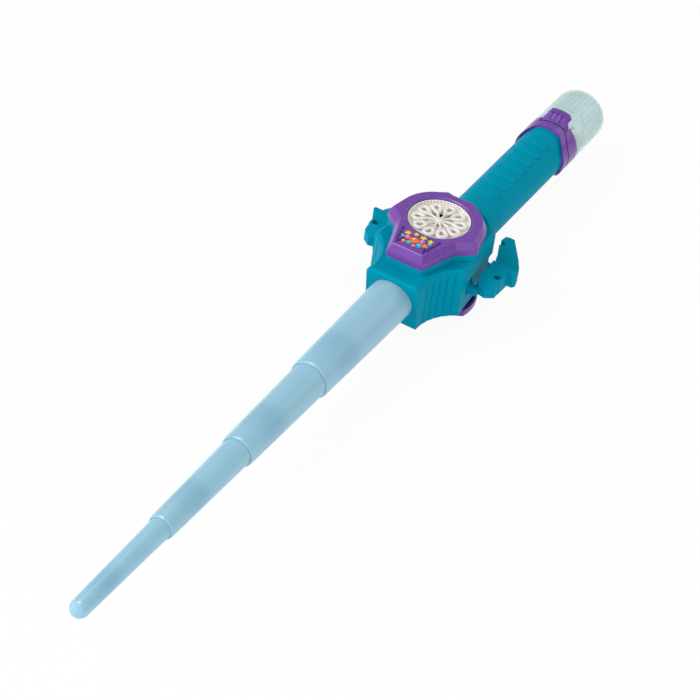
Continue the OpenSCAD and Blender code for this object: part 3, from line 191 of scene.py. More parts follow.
def moulded_plastic(name, colour, gloss, grain_height=0.02, cloud=0.06, shine=0.15, scatter=0.0,
                    tint=(1, 1, 1, 1), ior=1.5):
    """Moulded plastic with its own pigment, gloss and grain; scatter lets light into its skin."""
    material, tree, shader = new_material(name)
    effect = tree.nodes.new("ShaderNodeGroup")
    effect.node_tree = moulded
    effect.inputs["Pigment"].default_value = linear(colour)
    effect.inputs["Cloud"].default_value = cloud
    effect.inputs["Gloss"].default_value = gloss
    bump = tree.nodes.new("ShaderNodeBump")
    bump.inputs["Strength"].default_value = 0.35
    bump.inputs["Distance"].default_value = grain_height * MM
    tree.links.new(effect.outputs["Color"], shader.inputs["Base Color"])
    tree.links.new(effect.outputs["Roughness"], shader.inputs["Roughness"])
    tree.links.new(effect.outputs["Height"], bump.inputs["Height"])
    tree.links.new(bump.outputs["Normal"], shader.inputs["Normal"])
    shader.inputs["Specular IOR Level"].default_value = shine
    shader.inputs["Specular Tint"].default_value = tint
    shader.inputs["IOR"].default_value = ior
    shader.inputs["Subsurface Weight"].default_value = scatter
    shader.inputs["Subsurface Radius"].default_value = (0.4, 0.8, 1.0)
    shader.inputs["Subsurface Scale"].default_value = 0.004
    return material


teal = moulded_plastic("teal_shell", "#0090AB", 0.42, shine=0.2, tint=(0.05, 0.75, 0.9, 1), ior=1.13)
purple = moulded_plastic("purple_trim", "#7246A0", 0.27, shine=0.5, tint=(0.9, 0.8, 1, 1), ior=1.36)
dull_purple = moulded_plastic("purple_catch", "#7046A0", 0.5, shine=0.3, tint=(0.9, 0.8, 1, 1), ior=1.3)
blade_blue = moulded_plastic("milky_blue_inside", "#93C1D7", 0.3, cloud=0.03, scatter=0.3)
white = moulded_plastic("white_wheel", "#E6E2DC", 0.42, cloud=0.04, shine=0.3, scatter=0.08)
dish_white = moulded_plastic("dish_white", "#F8F4EE", 0.45, cloud=0.05, shine=0.3, scatter=0.08)
# Grey of the dish's pin-hole spots: painted shade standing in for the dark insides of holes
shadow_grey = moulded_plastic("pin_hole_painted_shade", "#948E86", 0.7)
dark = moulded_plastic("dark_inner", "#2E3136", 0.55)
rubber = moulded_plastic("seal_rubber", "#151517", 0.7)


def print_ink(colour):
    """Gloss printing ink with a slightly uneven film."""
    shades = {"yellow": "#F5D21E", "orange": "#EE7A22", "pink": "#E45C9C", "blue": "#2FA9D6",
              "white": "#F4F2EE", "navy": "#2A2448"}
    return moulded_plastic("ink_" + colour, shades[colour], 0.3, grain_height=0.005, cloud=0.1, shine=0.35)


def milky_tube(node, mouth_y):
    """Milky blue tube with a band of painted shade behind its mouth, where the next tube lies inside it."""
    material = moulded_plastic("milky_" + node, "#94C2D7", 0.32, 0.003, 0.04, shine=0.35, scatter=0.35)
    tree = material.node_tree
    shader = tree.nodes["Principled BSDF"]
    effect = shader.inputs["Base Color"].links[0].from_socket
    place = tree.nodes.new("ShaderNodeTexCoord")
    axes = tree.nodes.new("ShaderNodeSeparateXYZ")
    tree.links.new(place.outputs["Object"], axes.inputs[0])
    # Painted shade: the base colour is darkened in a band behind the mouth, where the inner tube overlaps
    clear_front, dark_front, dark_rear, clear_rear = ((mouth_y + reach) * MM for reach in (6, 30, 36, 48))
    edges = []
    for start, end in ((clear_front, dark_front), (clear_rear, dark_rear)):
        ramp = tree.nodes.new("ShaderNodeMapRange")
        ramp.interpolation_type = "SMOOTHSTEP"
        ramp.inputs["From Min"].default_value = start
        ramp.inputs["From Max"].default_value = end
        tree.links.new(axes.outputs["Y"], ramp.inputs["Value"])
        edges.append(ramp.outputs["Result"])
    painted_shade_zone = tree.nodes.new("ShaderNodeMath")
    painted_shade_zone.operation = "MULTIPLY"
    tree.links.new(edges[0], painted_shade_zone.inputs[0])
    tree.links.new(edges[1], painted_shade_zone.inputs[1])
    # Multiply the colour by the painted shade's tint inside the band
    shade = tree.nodes.new("ShaderNodeMix")
    shade.data_type = "RGBA"
    shade.blend_type = "MULTIPLY"
    colour_in = [socket for socket in shade.inputs if socket.type == "RGBA"]
    colour_in[1].default_value = (0.84, 0.88, 0.92, 1)
    tree.links.new(painted_shade_zone.outputs[0], shade.inputs["Factor"])
    tree.links.new(effect, colour_in[0])
    colour_out = [socket for socket in shade.outputs if socket.type == "RGBA"][0]
    tree.links.new(colour_out, shader.inputs["Base Color"])
    return material


def metal(name, colour, gloss):
    """Plain drawn metal with fine lengthwise streaks in its gloss."""
    material, tree, shader = new_material(name)
    place = tree.nodes.new("ShaderNodeTexCoord")
    stretch = tree.nodes.new("ShaderNodeMapping")
    stretch.inputs["Scale"].default_value = (900.0, 900.0, 40.0)
    streaks = tree.nodes.new("ShaderNodeTexNoise")
    streaks.inputs["Scale"].default_value = 1.0
    spread = tree.nodes.new("ShaderNodeMapRange")
    spread.inputs["To Min"].default_value = gloss - 0.08
    spread.inputs["To Max"].default_value = gloss + 0.12
    tree.links.new(place.outputs["Object"], stretch.inputs["Vector"])
    tree.links.new(stretch.outputs["Vector"], streaks.inputs["Vector"])
    tree.links.new(streaks.outputs["Fac"], spread.inputs["Value"])
    tree.links.new(spread.outputs["Result"], shader.inputs["Roughness"])
    shader.inputs["Base Color"].default_value = linear(colour)
    shader.inputs["Metallic"].default_value = 1.0
    return material


steel = metal("plain_steel", "#C2C5C9", 0.3)
brass = metal("cell_case", "#C9A24A", 0.35)


def clear_plastic(name, colour, gloss):
    """Thin clear tinted plastic with faint ripples from the mould, denser where it is seen edge on."""
    material, tree, shader = new_material(name)
    place = tree.nodes.new("ShaderNodeTexCoord")
    ripple = tree.nodes.new("ShaderNodeTexNoise")
    ripple.inputs["Scale"].default_value = 120.0
    bump = tree.nodes.new("ShaderNodeBump")
    bump.inputs["Strength"].default_value = 0.25
    bump.inputs["Distance"].default_value = 0.1 * MM
    tree.links.new(place.outputs["Object"], ripple.inputs["Vector"])
    tree.links.new(ripple.outputs["Fac"], bump.inputs["Height"])
    tree.links.new(bump.outputs["Normal"], shader.inputs["Normal"])
    shader.inputs["Base Color"].default_value = linear(colour)
    shader.inputs["Roughness"].default_value = gloss
    edge_on = tree.nodes.new("ShaderNodeLayerWeight")
    edge_on.inputs["Blend"].default_value = 0.5
    cover = tree.nodes.new("ShaderNodeMapRange")
    cover.inputs["To Min"].default_value = 0.2
    cover.inputs["To Max"].default_value = 0.65
    tree.links.new(edge_on.outputs["Facing"], cover.inputs["Value"])
    tree.links.new(cover.outputs["Result"], shader.inputs["Alpha"])
    shader.inputs["Coat Weight"].default_value = 0.6
    shader.inputs["Coat Roughness"].default_value = 0.05
    return material


clear_teal = clear_plastic("clear_bottle", "#B2D6D6", 0.15)
finish_of_slot = {"teal_plastic": teal, "purple_plastic": purple, "blade_plastic": blade_blue,
                  "white_plastic": white, "clear_plastic": clear_teal, "dark_plastic": dark, "steel": steel,
                  "cell_case": brass, "seal_rubber": rubber}
slot_of_node = {part["node"]: part["material_slot"] for part in frame["record"]["subparts"]}
for node_name, node_object in frame["nodes"].items():
    node_object.data.materials.clear()
    node_object.data.materials.append(finish_of_slot[slot_of_node[node_name]])


# Moulded parts with rounded edges

def keep_flat(piece):
    """Let large faces rule the shading, so that flat faces stay flat beside rounded edges."""
    flat = piece.modifiers.new("flat_faces", "WEIGHTED_NORMAL")
    flat.keep_sharp = True


def softened(node, width):
    """A copy of a CAD solid: its flat triangles joined, its sharp edges rounded by a bevel."""
    source = frame["nodes"][node]
    mesh = bpy.data.meshes.new(node + "_moulded")
    work = bmesh.new()
    work.from_mesh(source.data)
    bmesh.ops.remove_doubles(work, verts=work.verts, dist=2e-6)
    bmesh.ops.dissolve_limit(work, angle_limit=math.radians(0.5), verts=work.verts, edges=work.edges)
    work.to_mesh(mesh)
    work.free()
    mesh.polygons.foreach_set("use_smooth", np.ones(len(mesh.polygons), bool))
    mesh.materials.append(dull_purple if node == "catch_button" else finish_of_slot[slot_of_node[node]])
    piece = bpy.data.objects.new(node + "_moulded", mesh)
    scene.collection.objects.link(piece)
    bevel = piece.modifiers.new("rounded_edges", "BEVEL")
    bevel.width = width * MM
    bevel.segments = EDGE_STEPS
    bevel.limit_method = "ANGLE"
    bevel.angle_limit = math.radians(EDGE_FROM_DEG)
    bevel.miter_outer = "MITER_ARC"
    keep_flat(piece)
    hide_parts(node)
    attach(piece, source["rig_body"])


for moulded_node, edge_width in EDGE_WIDTH.items():
    softened(moulded_node, edge_width)


# Surfaces worked out on grids

def grid_faces(rows, cols, round_rows=False, round_cols=False):
    """Quads between neighbouring grid points; a round direction joins its last line to its first."""
    i = np.arange(rows if round_rows else rows - 1)[:, None]
    j = np.arange(cols if round_cols else cols - 1)[None, :]
    next_i = (i + 1) % rows
    next_j = (j + 1) % cols
    corners = (i * cols + j, i * cols + next_j, next_i * cols + next_j, next_i * cols + j)
    return np.stack(np.broadcast_arrays(*corners), axis=-1).reshape(-1, 4)


def put(name, points, faces, finish, body, nodes=(), crease=35.0):
    """Piece from points in millimetres: doubles joined, faces turned outwards, creases kept."""
    mesh = bpy.data.meshes.new(name)
    places = np.reshape(points, (-1, 3)) * MM
    mesh.from_pydata(places.tolist(), [], [list(map(int, face)) for face in faces])
    work = bmesh.new()
    work.from_mesh(mesh)
    bmesh.ops.remove_doubles(work, verts=work.verts, dist=2e-7)
    bmesh.ops.dissolve_degenerate(work, dist=1e-8, edges=work.edges)
    if work.calc_volume(signed=True) < 0:
        bmesh.ops.reverse_faces(work, faces=work.faces)
    work.to_mesh(mesh)
    work.free()
    mesh.polygons.foreach_set("use_smooth", np.ones(len(mesh.polygons), bool))
    mesh.set_sharp_from_angle(angle=math.radians(crease))
    mesh.materials.append(finish)
    piece = bpy.data.objects.new(name, mesh)
    scene.collection.objects.link(piece)
    if nodes:
        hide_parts(*nodes)
    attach(piece, body)
    return piece


def wall(piece, thickness):
    """Give an open surface its wall, on its inner side."""
    solid = piece.modifiers.new("wall", "SOLIDIFY")
    solid.thickness = thickness * MM
    solid.offset = -1.0


def arc(centre, radius, start, end, steps):
    """Points of an arc round a centre, from one angle in degrees to another."""
    turn = np.radians(np.linspace(start, end, steps))
    return np.stack([centre[0] + radius * np.cos(turn), centre[1] + radius * np.sin(turn)], axis=-1)


def revolved_about_y(profile, axis_z, count):
    """Profile of (y, radius) turned about a line along Y: x goes as the turn's sine, z as its cosine."""
    turn = np.linspace(0, 2 * np.pi, count, endpoint=False)
    y, radius = profile[:, 0][:, None], profile[:, 1][:, None]
    points = np.stack(np.broadcast_arrays(radius * np.sin(turn), y, axis_z + radius * np.cos(turn)), axis=-1)
    return points, grid_faces(len(profile), count, round_rows=True, round_cols=True)


def revolved_about_z(profile, count):
    """Open profile of (radius, z) turned about Z: x goes as the turn's cosine, y as its sine."""
    turn = np.linspace(0, 2 * np.pi, count, endpoint=False)
    radius, z = profile[:, :1], profile[:, 1:]
    points = np.stack(np.broadcast_arrays(radius * np.cos(turn), radius * np.sin(turn), z), axis=-1)
    return points, grid_faces(len(profile), count, round_cols=True)


# Blade: taper tubes with round lips

def tube_profile(rear, mouth, rear_r, domed=False):
    """Wall of a taper tube: out along the cone, round the lip or dome, and back along the inside."""
    lip, turn_in = 2.6, 0.75
    slope = TUBE_TAPER / 2
    if domed:
        dome_r = -mouth + TIP_DOME_Y
        cap = arc((TIP_DOME_Y, 0), dome_r, 90, 180, 14)
        hollow = arc((TIP_DOME_Y, 0), dome_r - TUBE_WALL, 180, 90, 14)
        outside = np.array([[rear, rear_r]])
        inside = np.array([[rear, rear_r - TUBE_WALL]])
        return np.concatenate([outside, cap, hollow, inside])
    swing = np.radians(np.linspace(0, 90, 10))
    y = mouth + lip * (1 - np.sin(swing))
    radius = rear_r - slope * (rear - y) - turn_in * TUBE_WALL * (1 - np.cos(swing))
    mouth_r = rear_r - slope * (rear - mouth)
    ends = np.array([[mouth, mouth_r - TUBE_WALL], [rear, rear_r - TUBE_WALL]])
    return np.concatenate([[[rear, rear_r]], np.stack([y, radius], axis=-1), ends])


def make_blade():
    """Four tubes, each as long as its CAD solid, the tip tube with a round end."""
    for node, body in (("blade_base_tube", "hilt"), ("blade_second_tube", "blade_second"),
                       ("blade_third_tube", "blade_third"), ("blade_tip_tube", "blade_tip")):
        low, high = (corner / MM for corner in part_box(node))
        rear_r = BASE_REAR_R if body == "hilt" else high.x
        profile = tube_profile(high.y, low.y, rear_r, domed=node == "blade_tip_tube")
        points, faces = revolved_about_y(profile, BLADE_Z, 96)
        put(node + "_skin", points, faces, milky_tube(node, low.y), body, [node])


# Grip: sleeve with raised tongues and the opening for the battery door

def lines(*stops):
    """Grid lines through a row of stops, each given with the number of steps up to it."""
    spans = [np.linspace(a[0], b[0], b[1], endpoint=False) for a, b in zip(stops, stops[1:])]
    return np.concatenate(spans + [[stops[-1][0]]])


def tongue_height(along, around):
    """Height of the raised tongues: a smooth step at a rounded rectangle's edge, with a groove round it."""
    half_w, half_l, corner, edge = BAND_W / 2, BAND_REACH, 3.2, 0.55
    groove_d, groove_w = 0.22, 0.45
    step = along - BAND_FIRST - half_w
    step = step - BAND_PITCH * np.clip(np.round(step / BAND_PITCH), 0, BAND_COUNT - 1)
    out_y = np.abs(step) - half_w + corner
    out_x = np.abs(around) - half_l + corner
    inside = np.minimum(np.maximum(out_x, out_y), 0)
    gap = np.hypot(np.maximum(out_x, 0), np.maximum(out_y, 0)) + inside - corner
    rise = np.clip(0.5 - gap / edge, 0, 1)
    groove = groove_d * np.exp(-((gap - edge) / groove_w) ** 2)
    return BAND_H * rise * rise * (3 - 2 * rise) - groove


def make_grip():
    """Sleeve round the grip's axis: radius plus the tongues' height, with the door's opening left out."""
    low, high = (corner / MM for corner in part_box("grip_sleeve"))
    door_low, door_high = (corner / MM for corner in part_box("battery_door"))
    door_turn = math.degrees(math.asin((door_high.x + DOOR_GAP) / GRIP_R))
    door_front, door_rear = door_low.y - DOOR_GAP, door_high.y + DOOR_GAP
    turn = lines((-180 + door_turn, 0), (-42, 14), (42, 92), (180 - door_turn, 14), (180 + door_turn, 10))
    turn = np.radians(turn[:-1])
    y = lines((low.y, 0), (low.y + 0.8, 2), (door_front, 18), (door_rear, 190), (high.y, 60))
    along, swing = np.meshgrid(y, turn, indexing="ij")
    rim = 0.6 * np.clip(1 - (along - low.y) / 0.8, 0, 1) ** 2
    radius = GRIP_R - rim + tongue_height(along, GRIP_R * swing)
    points = np.stack([radius * np.sin(swing), along, GRIP_Z + radius * np.cos(swing)], axis=-1)
    faces = grid_faces(len(y), len(turn), round_cols=True).reshape(len(y) - 1, len(turn), 4)
    middle_y = (y[1:] + y[:-1])[:, None] / 2
    middle_turn = ((turn + np.roll(turn, -1) + np.where(np.roll(turn, -1) < turn, 2 * np.pi, 0)) / 2)[None, :]
    in_span = (middle_y > door_front) & (middle_y < door_rear)
    in_door = in_span & (middle_turn > np.pi - math.radians(door_turn))
    piece = put("grip_sleeve_skin", points, faces[~in_door], teal, "hilt", ["grip_sleeve"])
    wall(piece, GRIP_WALL)


# Bottle: ribbed clear shell

def make_bottle():
    """Two skins turned about the grip's axis; the outer one is cut by a row of shallow flutes round it."""
    low, high = (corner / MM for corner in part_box("bottle"))
    start = low.y + BOTTLE_NECK
    body_r, neck_r, bore = high.x - 0.5, 13.5, 12.0
    round_r, skin, lip, bead = 8.0, 1.5, 1.2, 0.9
    flute_depth, flute_shape = 0.36, 0.7
    end_y = high.y - round_r
    outer = np.concatenate([
        [[low.y, bore], [low.y, neck_r], [start, neck_r], [start, high.x - lip]],
        arc((start + lip, high.x - lip), lip, 180, 90, 6),
        arc((start + 2.8, high.x - bead), bead, 90, 0, 3) - [bead, 0],
        [[start + 4.2, high.x - 0.55], [start + 15, high.x - 0.3], [start + 16, high.x - 0.3],
         [start + 17, body_r]],
        np.stack([np.linspace(start + 17.6, end_y - 0.5, 30), np.full(30, body_r)], axis=-1),
        arc((end_y, body_r - round_r), round_r, 90, 0, 14),
        [[high.y, 4.0], [high.y - 0.4, 3.2], [high.y - 0.4, 0.0]]])
    inner = np.concatenate([
        [[high.y - skin, 0.0]],
        arc((end_y, body_r - round_r), round_r - skin, 0, 90, 12),
        [[start + 6, body_r - skin], [start + skin, bore]]])
    profile = np.concatenate([outer, inner])
    points, faces = revolved_about_y(profile, GRIP_Z, 10 * RIB_COUNT)
    y = points[..., 1]
    turn = np.linspace(0, 2 * np.pi, points.shape[1], endpoint=False)
    flute_from, flute_to = start + 17.6, end_y + 3.0
    fade = np.clip((y - flute_from) / 1.0, 0, 1) * np.clip((flute_to - y) / 2.5, 0, 1)
    on_outside = (np.arange(len(profile)) < len(outer))[:, None]
    depth = flute_depth * fade * on_outside * np.abs(np.cos(RIB_COUNT / 2 * turn)) ** flute_shape
    radius = np.hypot(points[..., 0], points[..., 2] - GRIP_Z)
    share = 1 - depth / np.maximum(radius, 1e-6)
    points[..., 0] *= share
    points[..., 2] = GRIP_Z + (points[..., 2] - GRIP_Z) * share
    put("bottle_skin", points, faces, clear_teal, "bottle_body", ["bottle"], crease=50.0)


# Bubble wheel: wire teardrops on a domed hub

def rounded_bar(path, across, half_w, half_h, steps=14, closed=True):
    """Section carried along a level path: width goes as a cosine, height as a sine, both squared off."""
    turn = np.linspace(0, 2 * np.pi, steps, endpoint=False)
    power = 0.75
    side = np.sign(np.cos(turn)) * np.abs(np.cos(turn)) ** power
    rise = np.sign(np.sin(turn)) * np.abs(np.sin(turn)) ** power
    flat = path[:, None, :] + across[:, None, :] * (np.reshape(half_w, (-1, 1)) * side)[..., None]
    level = np.broadcast_to(half_h * rise, flat.shape[:2])
    points = np.concatenate([flat, level[..., None]], axis=-1)
    return points, grid_faces(len(path), steps, round_rows=closed, round_cols=True)


def teardrop_path(count):
    """Loop of the wheel: distance out goes as a cosine, width as sine times the sine of half the turn.

    That product's largest value is 0.77.
    """
    turn = np.linspace(0, 2 * np.pi, count, endpoint=False)
    half_len = (LOOP_END - LOOP_TIP) / 2
    out = LOOP_TIP + half_len * (1 - np.cos(turn))
    wide = LOOP_HALF / 0.77 * np.sin(turn) * np.sin(turn / 2)
    path = np.stack([out, wide * np.sign(np.sin(turn / 2))], axis=-1)
    slope = np.roll(path, -1, axis=0) - np.roll(path, 1, axis=0)
    across = np.stack([-slope[:, 1], slope[:, 0]], axis=-1)
    return path, across / np.maximum(np.linalg.norm(across, axis=1), 1e-9)[:, None]


def make_wheel():
    """Loops and spokes turned round the hub, and the hub as a turned dome."""
    half_thick = WHEEL_THICK / 2
    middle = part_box("bubble_wheel")[0].z / MM + half_thick
    loop, loop_faces = rounded_bar(*teardrop_path(72), WIRE_HALF, half_thick)
    rings, ring = 8, 12
    reach = np.linspace(2.0, LOOP_TIP + 2.4, rings)
    spoke_path = np.stack([reach, np.zeros(rings)], axis=-1)
    spoke_across = np.tile([[0.0, 1.0]], (rings, 1))
    spoke_half = np.linspace(0.6, 0.9, rings)
    spoke, spoke_faces = rounded_bar(spoke_path, spoke_across, spoke_half, half_thick - 0.05, ring,
                                     closed=False)
    first_ring = np.arange(ring)
    last_ring = first_ring + (rings - 1) * ring
    shells, quads, used = [], [], 0
    for turn in np.radians(90 + 360 * np.arange(LOOP_COUNT) / LOOP_COUNT):
        cos, sin = math.cos(turn), math.sin(turn)
        spin = np.array([[cos, sin, 0], [-sin, cos, 0], [0, 0, 1]])
        shells.append(loop.reshape(-1, 3) @ spin)
        quads.extend((loop_faces + used).tolist())
        used += len(shells[-1])
        shells.append(spoke.reshape(-1, 3) @ spin)
        quads.extend((spoke_faces + used).tolist())
        quads.extend([(first_ring[::-1] + used).tolist(), (last_ring + used).tolist()])
        used += len(shells[-1])
    swing = np.radians(np.linspace(0, 90, 8))
    top = half_thick + HUB_RISE
    dome = np.stack([HUB_R * np.sin(swing), top - 0.9 * (1 - np.cos(swing))], axis=-1)
    hub, hub_faces = revolved_about_z(np.concatenate([dome, [[HUB_R, -half_thick], [0.0, -half_thick]]]), 48)
    quads.extend((hub_faces + used).tolist())
    shells.append(hub.reshape(-1, 3))
    points = np.concatenate(shells) + [0, 0, middle]
    put("bubble_wheel_wire", points, quads, white, "wheel", ["bubble_wheel"], crease=60.0)


# Cover: bevelled shell round the dish, with two sunk slots

def cover_half():
    """Right half of the cover's outline, from the middle of the nose to the middle of the tail."""
    back = arc((0.0, 0.0), 34.3, 9, 60, 14)
    return np.concatenate([[[0.0, -49.7], [14.6, -49.7], [24.7, -19.2], [36.6, -9.3]], back,
                           [[10.5, 34.6], [6.0, 33.2], [0.0, 33.2]]])


def mitred(corners, inset):
    """Outline moved inwards by a distance: each corner goes along the mitre of its two edges."""
    along = np.diff(corners, axis=0)
    normal = np.stack([along[:, 1], -along[:, 0]], axis=-1) / np.linalg.norm(along, axis=1)[:, None]
    before, after = np.concatenate([normal[:1], normal]), np.concatenate([normal, normal[-1:]])
    return corners - (before + after) * inset / (1 + np.sum(before * after, axis=1))[:, None]


def bend(start, corner, end, steps):
    """Parabola from start to end that leaves and arrives along the lines to the corner."""
    t = np.linspace(0, 1, steps)[:, None]
    return (1 - t) ** 2 * np.asarray(start) + 2 * t * (1 - t) * np.asarray(corner) + t ** 2 * np.asarray(end)


def rounded_half(corners, reach=0.9):
    """Outline with a bend at each inner corner and the same stops along each edge."""
    ahead = np.diff(corners, axis=0)
    ahead = ahead / np.linalg.norm(ahead, axis=1)[:, None]
    inner = corners[1:-1]
    starts, ends = inner - reach * ahead[:-1], inner + reach * ahead[1:]
    edge_from = np.concatenate([corners[:1], ends])
    edge_to = np.concatenate([starts, corners[-1:]])
    edges = edge_from[:, None] + EDGE_STOPS[:, None] * (edge_to - edge_from)[:, None]
    bends = [bend(a, b, c, BEND_STEPS) for a, b, c in zip(starts, inner, ends)] + [corners[-1:]]
    return np.concatenate([corners[:1]] + [part for pair in zip(edges, bends) for part in pair])


def column_count(corners):
    """Number of points that rounded_half gives for an outline."""
    return 2 + len(EDGE_STOPS) * (len(corners) - 1) + BEND_STEPS * (len(corners) - 2)


def make_cover():
    """Section carried round the outline: skirt, round edges and slope, top with slots, opening's bevel."""
    top, foot = COVER_TOP - PRINT_DEPTH, BLADE_Z + 25.2
    shoulder, slope_in, edge_r = np.array([0.0, foot + 5.0]), 3.2, 0.95
    brow = np.array([slope_in, top])
    climb = (brow - shoulder) / np.linalg.norm(brow - shoulder)
    lower_edge = bend(shoulder - [0, edge_r], shoulder, shoulder + edge_r * climb, 5)
    upper_edge = bend(brow - edge_r * climb, brow, brow + [edge_r, 0], 6)
    section = np.concatenate([[[0.0, foot]], lower_edge, upper_edge])
    corners = cover_half()
    skirt = [np.column_stack([rounded_half(mitred(corners, inset)), np.full(column_count(corners), z)])
             for inset, z in section]
    slot_front, slot_rear = np.array([11.7, -41.3]), np.array([15.1, -24.8])
    slot_half, slot_depth = 1.1, 1.1
    along = (slot_rear - slot_front) / np.linalg.norm(slot_rear - slot_front)
    outwards = np.array([along[1], -along[0]])
    stops = np.array([-0.12, 0, 0, 0.33, 0.67, 1, 1, 1.12])
    middle = slot_front + stops[:, None] * (slot_rear - slot_front)
    first = 1 + len(EDGE_STOPS) + BEND_STEPS
    in_slot = slice(first, first + len(stops))
    level = np.full(column_count(corners), top)
    sunk = level.copy()
    sunk[first + 2:first + 6] -= slot_depth
    near = rounded_half(mitred(corners, slope_in + edge_r + 0.2))
    far = rounded_half(mitred(corners, slope_in + edge_r + 0.5))
    near[in_slot] = middle + slot_half * outwards
    near[first] = middle[0] + slot_half / 2 * outwards
    far[in_slot] = middle - slot_half * outwards
    slots = [np.column_stack(pair) for pair in ((near, level), (near, sunk), (far, sunk), (far, level))]
    opening = np.concatenate([bend([25.0, top], [24.4, top], [24.0, top - 0.4], 4),
                              bend([23.6, top - 0.8], [23.3, top - 1.1], [23.3, top - 1.6], 4)])
    ray = far / np.linalg.norm(far, axis=1)[:, None]
    rim = [np.column_stack([radius * ray, np.full(len(ray), z)]) for radius, z in opening]
    right = np.stack(skirt + slots + rim)
    left = right[:, ::-1] * [-1, 1, 1]
    points = np.concatenate([right, left], axis=1)
    faces = grid_faces(*points.shape[:2], round_cols=True)
    piece = put("top_cover_shell", points, faces, purple, "hilt", ["top_cover"],
                crease=40.0)
    wall(piece, 0.7)
    keep_flat(piece)


# Thin raised spots, for the print and the painted shade of the dish's pin holes

def print_patch(centre, outline, base_z, height):
    """Thin raised spot: rings shrink to the middle, and the height falls off near the outline."""
    turn = np.linspace(0, 2 * np.pi, 60, endpoint=False)
    share = np.array([0.0, 0.5, 0.85, 0.96, 1.0, 1.0, 0.0])
    rise = np.array([1.0, 1.0, 0.95, 0.7, 0.2, -0.6, -0.6])
    reach = share[:, None] * outline(turn)
    return np.stack(np.broadcast_arrays(centre[0] + reach * np.cos(turn), centre[1] + reach * np.sin(turn),
                                        base_z + height * rise[:, None]), axis=-1)


def disc(radius):
    """Round outline."""
    return lambda turn: np.full_like(turn, radius)


def make_print_piece(name, shells, ink):
    """All spots of one colour as one piece."""
    rows, cols = shells[0].shape[:2]
    faces = grid_faces(rows, cols, round_cols=True)
    all_faces = np.concatenate([faces + number * rows * cols for number in range(len(shells))])
    put(name, np.stack(shells), all_faces, ink, "hilt")


# Dish: shallow pan with air slots near the hub, and a row of grey spots under its rim, painted shade standing
# in for pin holes

def make_dish():
    """Profile turned about the axle: floor, fillet, wall and lip, with the air slots left out.

    The pin holes are grey spots of painted shade wrapped on the wall, not cut holes: their width is an angle,
    their height goes inwards.
    """
    floor_z, rim_z = BLADE_Z + 31.0, BLADE_Z + 34.5
    fillet, floor_r, rim_r = 0.8, 21.2, 22.3
    slot_in, slot_out, slot_half_deg = 4.6, 11.0, 8
    slot_places = np.array([72.0, 108.0, 144.0])
    floor = [[1.7, floor_z], [slot_in, floor_z], [slot_out, floor_z], [17.0, floor_z]]
    corner = arc((floor_r, floor_z + fillet), fillet, -90, 0, 5)
    lip = [[rim_r - 0.05, rim_z - 0.3], [rim_r + 0.1, rim_z], [rim_r + 0.3, rim_z + 0.05],
           [DISH_R - 0.2, rim_z - 0.15]]
    profile = np.concatenate([floor, corner, lip])
    columns = 720
    points, faces = revolved_about_z(profile, columns)
    faces = faces.reshape(len(profile) - 1, columns, 4)
    middle = 360 * (np.arange(columns) + 0.5) / columns
    near_slot = np.min(np.abs(middle[:, None] - slot_places), axis=1) < slot_half_deg
    in_slot = near_slot[None, :] & (np.arange(len(profile) - 1) == 1)[:, None]
    piece = put("bubble_dish_pan", points, faces[~in_slot], dish_white, "hilt",
                ["bubble_dish"])
    wall(piece, 0.5)
    # Grey spots of painted shade where the pin holes' dark insides would be
    hole_z, hole_r, hole_count = rim_z - 1.0, 0.55, 56
    hole = print_patch((0.0, 0.0), disc(hole_r), 0.0, 0.04)
    level = hole_z + hole[..., 1]
    reach = np.interp(level, [floor_z + fillet, rim_z - 0.3], [floor_r + fillet, rim_r - 0.05]) - hole[..., 2]
    step = 2 * np.pi * np.arange(hole_count)[:, None, None] / hole_count
    swing = step - hole[..., 0] / rim_r
    holes = np.stack(np.broadcast_arrays(reach * np.cos(swing), reach * np.sin(swing), level), axis=-1)
    make_print_piece("dish_pin_hole_painted_shade", holes, shadow_grey)


# Print on the cover: bubbles and stars

def star(radius, lean):
    """Five-pointed outline: the reach swings between the points and the notches five times round."""
    def outline(turn):
        wave = np.abs(((turn - lean) * 5 / (2 * np.pi)) % 1 - 0.5) * 2
        return radius * (0.46 + 0.54 * wave ** 1.3)
    return outline


def make_print():
    """Motifs by colour, each a place on the cover with a shape and size, on a dark round-edged ground."""
    base = COVER_TOP - PRINT_DEPTH
    layer = PRINT_DEPTH / 3
    stars = [((-9.2, -29.4), 2.9, 0.3), ((-3.4, -27.6), 2.4, 0.9), ((2.6, -28.2), 3.0, 0.1),
             ((8.8, -28.8), 2.5, 0.6)]
    bubbles = {
        "orange": [((-1.2, -34.4), 3.4), ((8.2, -35.8), 2.1), ((-7.4, -39.4), 1.7)],
        "pink": [((-6.8, -34.0), 2.4), ((4.2, -33.0), 2.3), ((1.0, -40.2), 1.8)],
        "blue": [((-3.4, -38.8), 2.1), ((4.4, -37.8), 2.4), ((9.6, -32.0), 1.7), ((-10.6, -34.6), 1.5)],
    }
    rounds = [spot for spots in bubbles.values() for spot in spots]
    ground = [(centre, star(size + 0.7, lean)) for centre, size, lean in stars]
    ground += [(centre, disc(size + 0.5)) for centre, size in rounds]
    shells = [print_patch(centre, outline, base, layer) for centre, outline in ground]
    make_print_piece("print_ground", shells, print_ink("navy"))
    shells = [print_patch(centre, star(size, lean), base + layer, layer) for centre, size, lean in stars]
    make_print_piece("print_stars", shells, print_ink("yellow"))
    for colour, spots in bubbles.items():
        shells = [print_patch(centre, disc(size), base + layer, layer) for centre, size in spots]
        make_print_piece("print_" + colour, shells, print_ink(colour))
    aside, glint = np.array([-0.35, 0.35]), 0.22
    shells = [print_patch(np.array(centre) + aside * size, disc(glint * size), base + 2 * layer, layer)
              for centre, size in rounds]
    make_print_piece("print_glints", shells, print_ink("white"))
